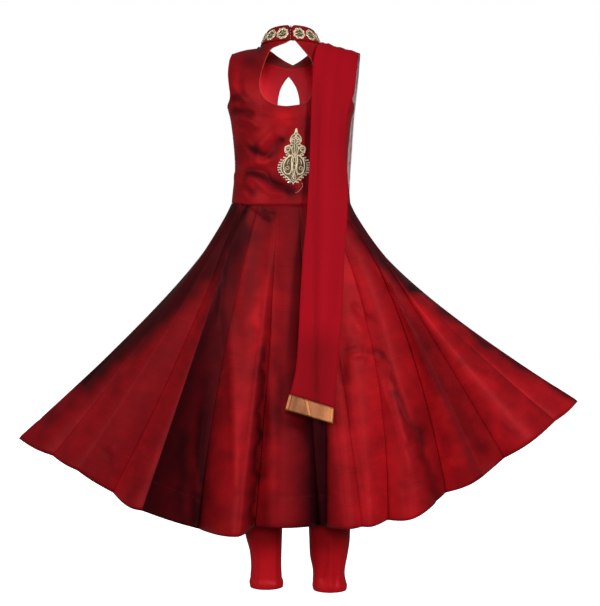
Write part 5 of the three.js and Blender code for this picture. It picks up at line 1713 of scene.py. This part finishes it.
def stole_sheet(t, lift=0.0):
    """The pleated cloth at places t of its length: a grid of points and its UV."""
    left, across, unit, normal = stole_frame(t)
    width = np.linalg.norm(across, axis=-1)
    behind = smooth((t - STOLE_TURN) / 0.03)
    columns, flat = [], []
    inner = np.linspace(0, 1, LAYER_POINTS)
    for layer in range(LAYERS):
        forward = layer % 2 == 0
        ends = []
        for folds, fold in ((LEFT_FOLDS, (layer + 1) // 2), (RIGHT_FOLDS, layer // 2)):
            mean, swing, phase = folds[fold]
            ends.append(mean + swing * np.sin(17 * t + phase))
        low = ends[0] / width
        high = 1 - ends[1] / width
        if layer == LAYERS - 1:
            high = high - behind * NET_WIDTH / width
        order = inner if forward else inner[::-1]
        base = STACK_TOP - STACK_DEPTH * layer / (LAYERS - 1)
        for u in order:
            place = lerp(low, high, u)
            height = np.full(len(t), base)
            if layer == 0:
                drift = 0.03 * np.sin(9 * t + 1.0)
                for rise, at, follow, wide in TOP_PLEATS:
                    height = height + rise * bump(u - at - follow * drift, wide)
            sway = 0.35 * np.sin(31 * t + 5 * u + layer) * math.sin(math.pi * u)
            height = height + sway + lift
            columns.append(left + across * place[..., None] + normal * height[..., None])
            flat.append((layer + (u if forward else 1 - u)) * LAYER_WIDTH)
        if layer < LAYERS - 1:
            end = high if forward else low
            out = 0.35 if forward else -0.35
            drop = STACK_DEPTH / (LAYERS - 1) / 2
            mid = left + across * end[..., None] + unit * out + normal * (base - drop + lift)
            columns.append(mid)
            flat.append((layer + 1) * LAYER_WIDTH)
    points = np.stack(columns, 1)
    middle = points[:, :LAYER_POINTS].mean(1)
    length = run_length(middle)
    uv = joined(flat, length[:, None])
    return points, uv, length[-1]


# Shade along the stack's folded edge, and towards the border
STOLE_SHADES = (
    (-0.22, 2.5, 3.5, 40, 10, ((312, 110), (313, 190), (314.5, 280), (316, 396))),
    (-0.3, 5, 4, 30, 0, ((318, 70), (318, 180), (317.5, 290), (317, 402))),
    (0.12, 6, 6, 40, 40, ((328, 60), (328, 150), (325, 250), (322, 330))),
    (-0.6, 44, 50, 70, 0, ((318, 316), (315, 356), (311, 408))),
    (-0.15, 7, 6, 50, 20, ((340, 60), (341, 150), (340, 240), (334, 320))),
)
cloth_t = np.linspace(BORDER_SHARE, 1 - BORDER_SHARE, 240)
points, uv, stole_length = stole_sheet(cloth_t)
stole = Build()
stole_tone = 1 + fold_height(points, STOLE_SHADES)
wall(stole, [{"points": points, "uv": uv, "flip": True, "tone": stole_tone}], STOLE_WALL)
stole.finish(
    "stole_cloth", "stole_chiffon", [CHIFFON], ["stole_front", "stole_back"],
    dict(flat=(0.56, stole_length / MM_PER_M), held="draped", rests_on=["bodice_front_cloth"]),
)
# Painted shade on the ribbon where it turns under its left fold, and a painted highlight beside it
BORDER_SHADES = (
    (-0.5, 24, 12, 0, 0, ((297, 396), (299, 406), (303, 416))),
    (-0.3, 14, 8, 0, 0, ((314, 400), (317, 420))),
    (0.2, 3, 9, 0, 0, ((330, 404), (329, 424))),
)


def border_tone(points):
    return np.clip(1 + fold_height(points, BORDER_SHADES), 0.2, 1.5)


# Strips of ribbon on each border, its turned corner and its folded edges: their place
# across it at each end, their width as a share, and their height
STRIPS = ((0.02, 0.035, 0.06, 0.45), (0.38, 0.51, 0.08, 1.65), (0.955, 0.955, 0.06, 0.45))
STRIP_ROWS, STRIP_COLUMNS = 10, 5
for name, low, high in (("front", 0.0, BORDER_SHARE), ("back", 1 - BORDER_SHARE, 1.0)):
    ribbon = Build()
    ends = np.linspace(low + 0.0003, high - 0.0003, 12)
    points, uv, length = stole_sheet(ends, 0.12)
    wall(ribbon, [{"points": points, "uv": uv, "flip": True, "tone": border_tone(points)}], RIBBON_WALL)
    left, across, _, normal = stole_frame(np.linspace(low + 0.001, high - 0.001, STRIP_ROWS))
    down_share = np.linspace(0, 1, STRIP_ROWS)
    for start, end, wide, height in STRIPS:
        middle = lerp(start, end, down_share if name == "back" else 1 - down_share)
        strip = np.stack(
            [
                left + across * (middle + (k - 2) / 4 * wide)[:, None]
                + normal * (STOLE_THICKNESS + height + 0.3 * (1 - abs(k - 2) / 2))
                for k in range(STRIP_COLUMNS)
            ],
            1,
        )
        rows, columns = np.arange(STRIP_ROWS)[:, None] * 3.0, np.arange(STRIP_COLUMNS) * 2.0
        strip_uv = joined(columns, rows)
        # Painted highlight on the raised strips, over the ribbon's painted shade
        strip_painted_highlight = 0.6 + border_tone(strip)
        wall(ribbon, [{"points": strip, "uv": strip_uv, "flip": True, "tone": strip_painted_highlight}], STRIP_WALL)
    ribbon.finish(
        f"stole_border_{name}_ribbon", "gold_border", [RIBBON], [f"stole_border_{name}"],
        dict(flat=(0.56, length / MM_PER_M), held="folded", rests_on=["stole_cloth"]),
    )

# Net trim along the outer edge of the stretch behind: crossed threads between long ones
NET_CROSSES = 210
net = Build()
net_t = np.linspace(STOLE_TURN - 0.012, 1 - BORDER_SHARE, 260)


def net_point(t, share, lift=0.0):
    t = np.asarray(t, float)
    left, across, _, normal = stole_frame(t)
    width = np.linalg.norm(across, axis=-1)
    place = 1 - (1 - share) * NET_WIDTH / width
    return left + across * place[..., None] + normal * (0.9 + lift), normal


for share, size in ((0.02, 0.7), (0.3, 0.3), (0.52, 0.3), (0.76, 0.3), (0.98, 0.75)):
    path, out = net_point(net_t, share + 0.03 * np.sin(60 * net_t + 9 * share))
    tube(net, path, size, out, 5)
for k in range(NET_CROSSES):
    start = lerp(net_t[0], net_t[-1], k / NET_CROSSES)
    for slope in (-1, 1):
        wide = rng.uniform(0.018, 0.026)
        shares = np.linspace(0.02, 0.98, 5)
        at = np.clip(start + slope * wide * (shares - 0.5), net_t[0], net_t[-1])
        path, out = net_point(at, shares, rng.uniform(-0.25, 0.25))
        tube(net, path, 0.22, out, 4)
net.finish("stole_net_trim", "gold_border", [NET])

# Studio

FLOOR_Z = -0.975
DOME_R = 9.0
DOME_ROWS, DOME_SIDES = 16, 64


def stage_piece(name, points, faces, material):
    """A piece of the studio, seen by the camera alone."""
    mesh = bpy.data.meshes.new(name)
    mesh.from_pydata(points, [], faces)
    mesh.materials.append(material)
    staged = bpy.data.objects.new(name, mesh)
    bpy.context.scene.collection.objects.link(staged)
    for seen in ("diffuse", "glossy", "transmission", "shadow", "volume_scatter"):
        setattr(staged, "visible_" + seen, False)


floor_material, tree, _ = new_material("pale_floor")
grain = node(tree, "TexNoise", Scale=30.0).outputs["Fac"]
floor_colour = colour_mix(tree, grain, (0.9, 0.9, 0.9), (0.94, 0.94, 0.94))
floor_shader = node(
    tree, "BsdfPrincipled", Base_Color=floor_colour, Roughness=0.9, Emission_Color=(1, 1, 1, 1),
    Emission_Strength=1.0,
)
node(tree, "OutputMaterial", Surface=floor_shader.outputs[0])

backdrop_material, tree, _ = new_material("pale_backdrop")
glow = node(tree, "Emission", Color=(1, 1, 1, 1), Strength=1.0)
node(tree, "OutputMaterial", Surface=glow.outputs[0])

tilt = np.linspace(0, np.pi / 2, DOME_ROWS + 1)[:, None]
turn = np.arange(DOME_SIDES) * 2 * np.pi / DOME_SIDES
dome_grid = joined(
    DOME_R * np.cos(tilt) * np.cos(turn), DOME_R * np.cos(tilt) * np.sin(turn),
    FLOOR_Z + DOME_R * np.sin(tilt),
)
dome_points = dome_grid.reshape(-1, 3).tolist()
stage_piece("floor", dome_points[:DOME_SIDES], [list(range(DOME_SIDES))], floor_material)
dome_faces = grid_quads(DOME_ROWS + 1, DOME_SIDES, True).tolist()
stage_piece("backdrop", dome_points, dome_faces, backdrop_material)

AIM = np.array([0.0, 0.0, -0.42])


def soft_light(name, place, size, power):
    light = bpy.data.lights.new(name, "AREA")
    light.shape, light.size, light.energy = "DISK", size, power
    lamp = bpy.data.objects.new(name, light)
    lamp.location = place
    away = np.array(place) - AIM
    lamp.rotation_euler = (
        math.acos(away[2] / np.linalg.norm(away)), 0, math.atan2(away[1], away[0]) + math.pi / 2,
    )
    bpy.context.scene.collection.objects.link(lamp)


soft_light("key", (1.7, -2.5, 0.7), 0.9, 60)
soft_light("front", (0.1, -3.3, 0.1), 0.5, 26)
soft_light("fill", (-2.1, -2.1, 0.3), 1.1, 40)
soft_light("top", (0.1, -0.2, 2.2), 1.4, 6)
soft_light("behind", (-0.2, 3.3, 0.5), 1.4, 40)

world = bpy.data.worlds.new("studio")
world.use_nodes = True
background = world.node_tree.nodes["Background"]
background.inputs["Color"].default_value = (1.0, 0.9, 0.9, 1)
background.inputs["Strength"].default_value = 0.14
bpy.context.scene.world = world
bpy.context.scene.view_settings.view_transform = "Standard"
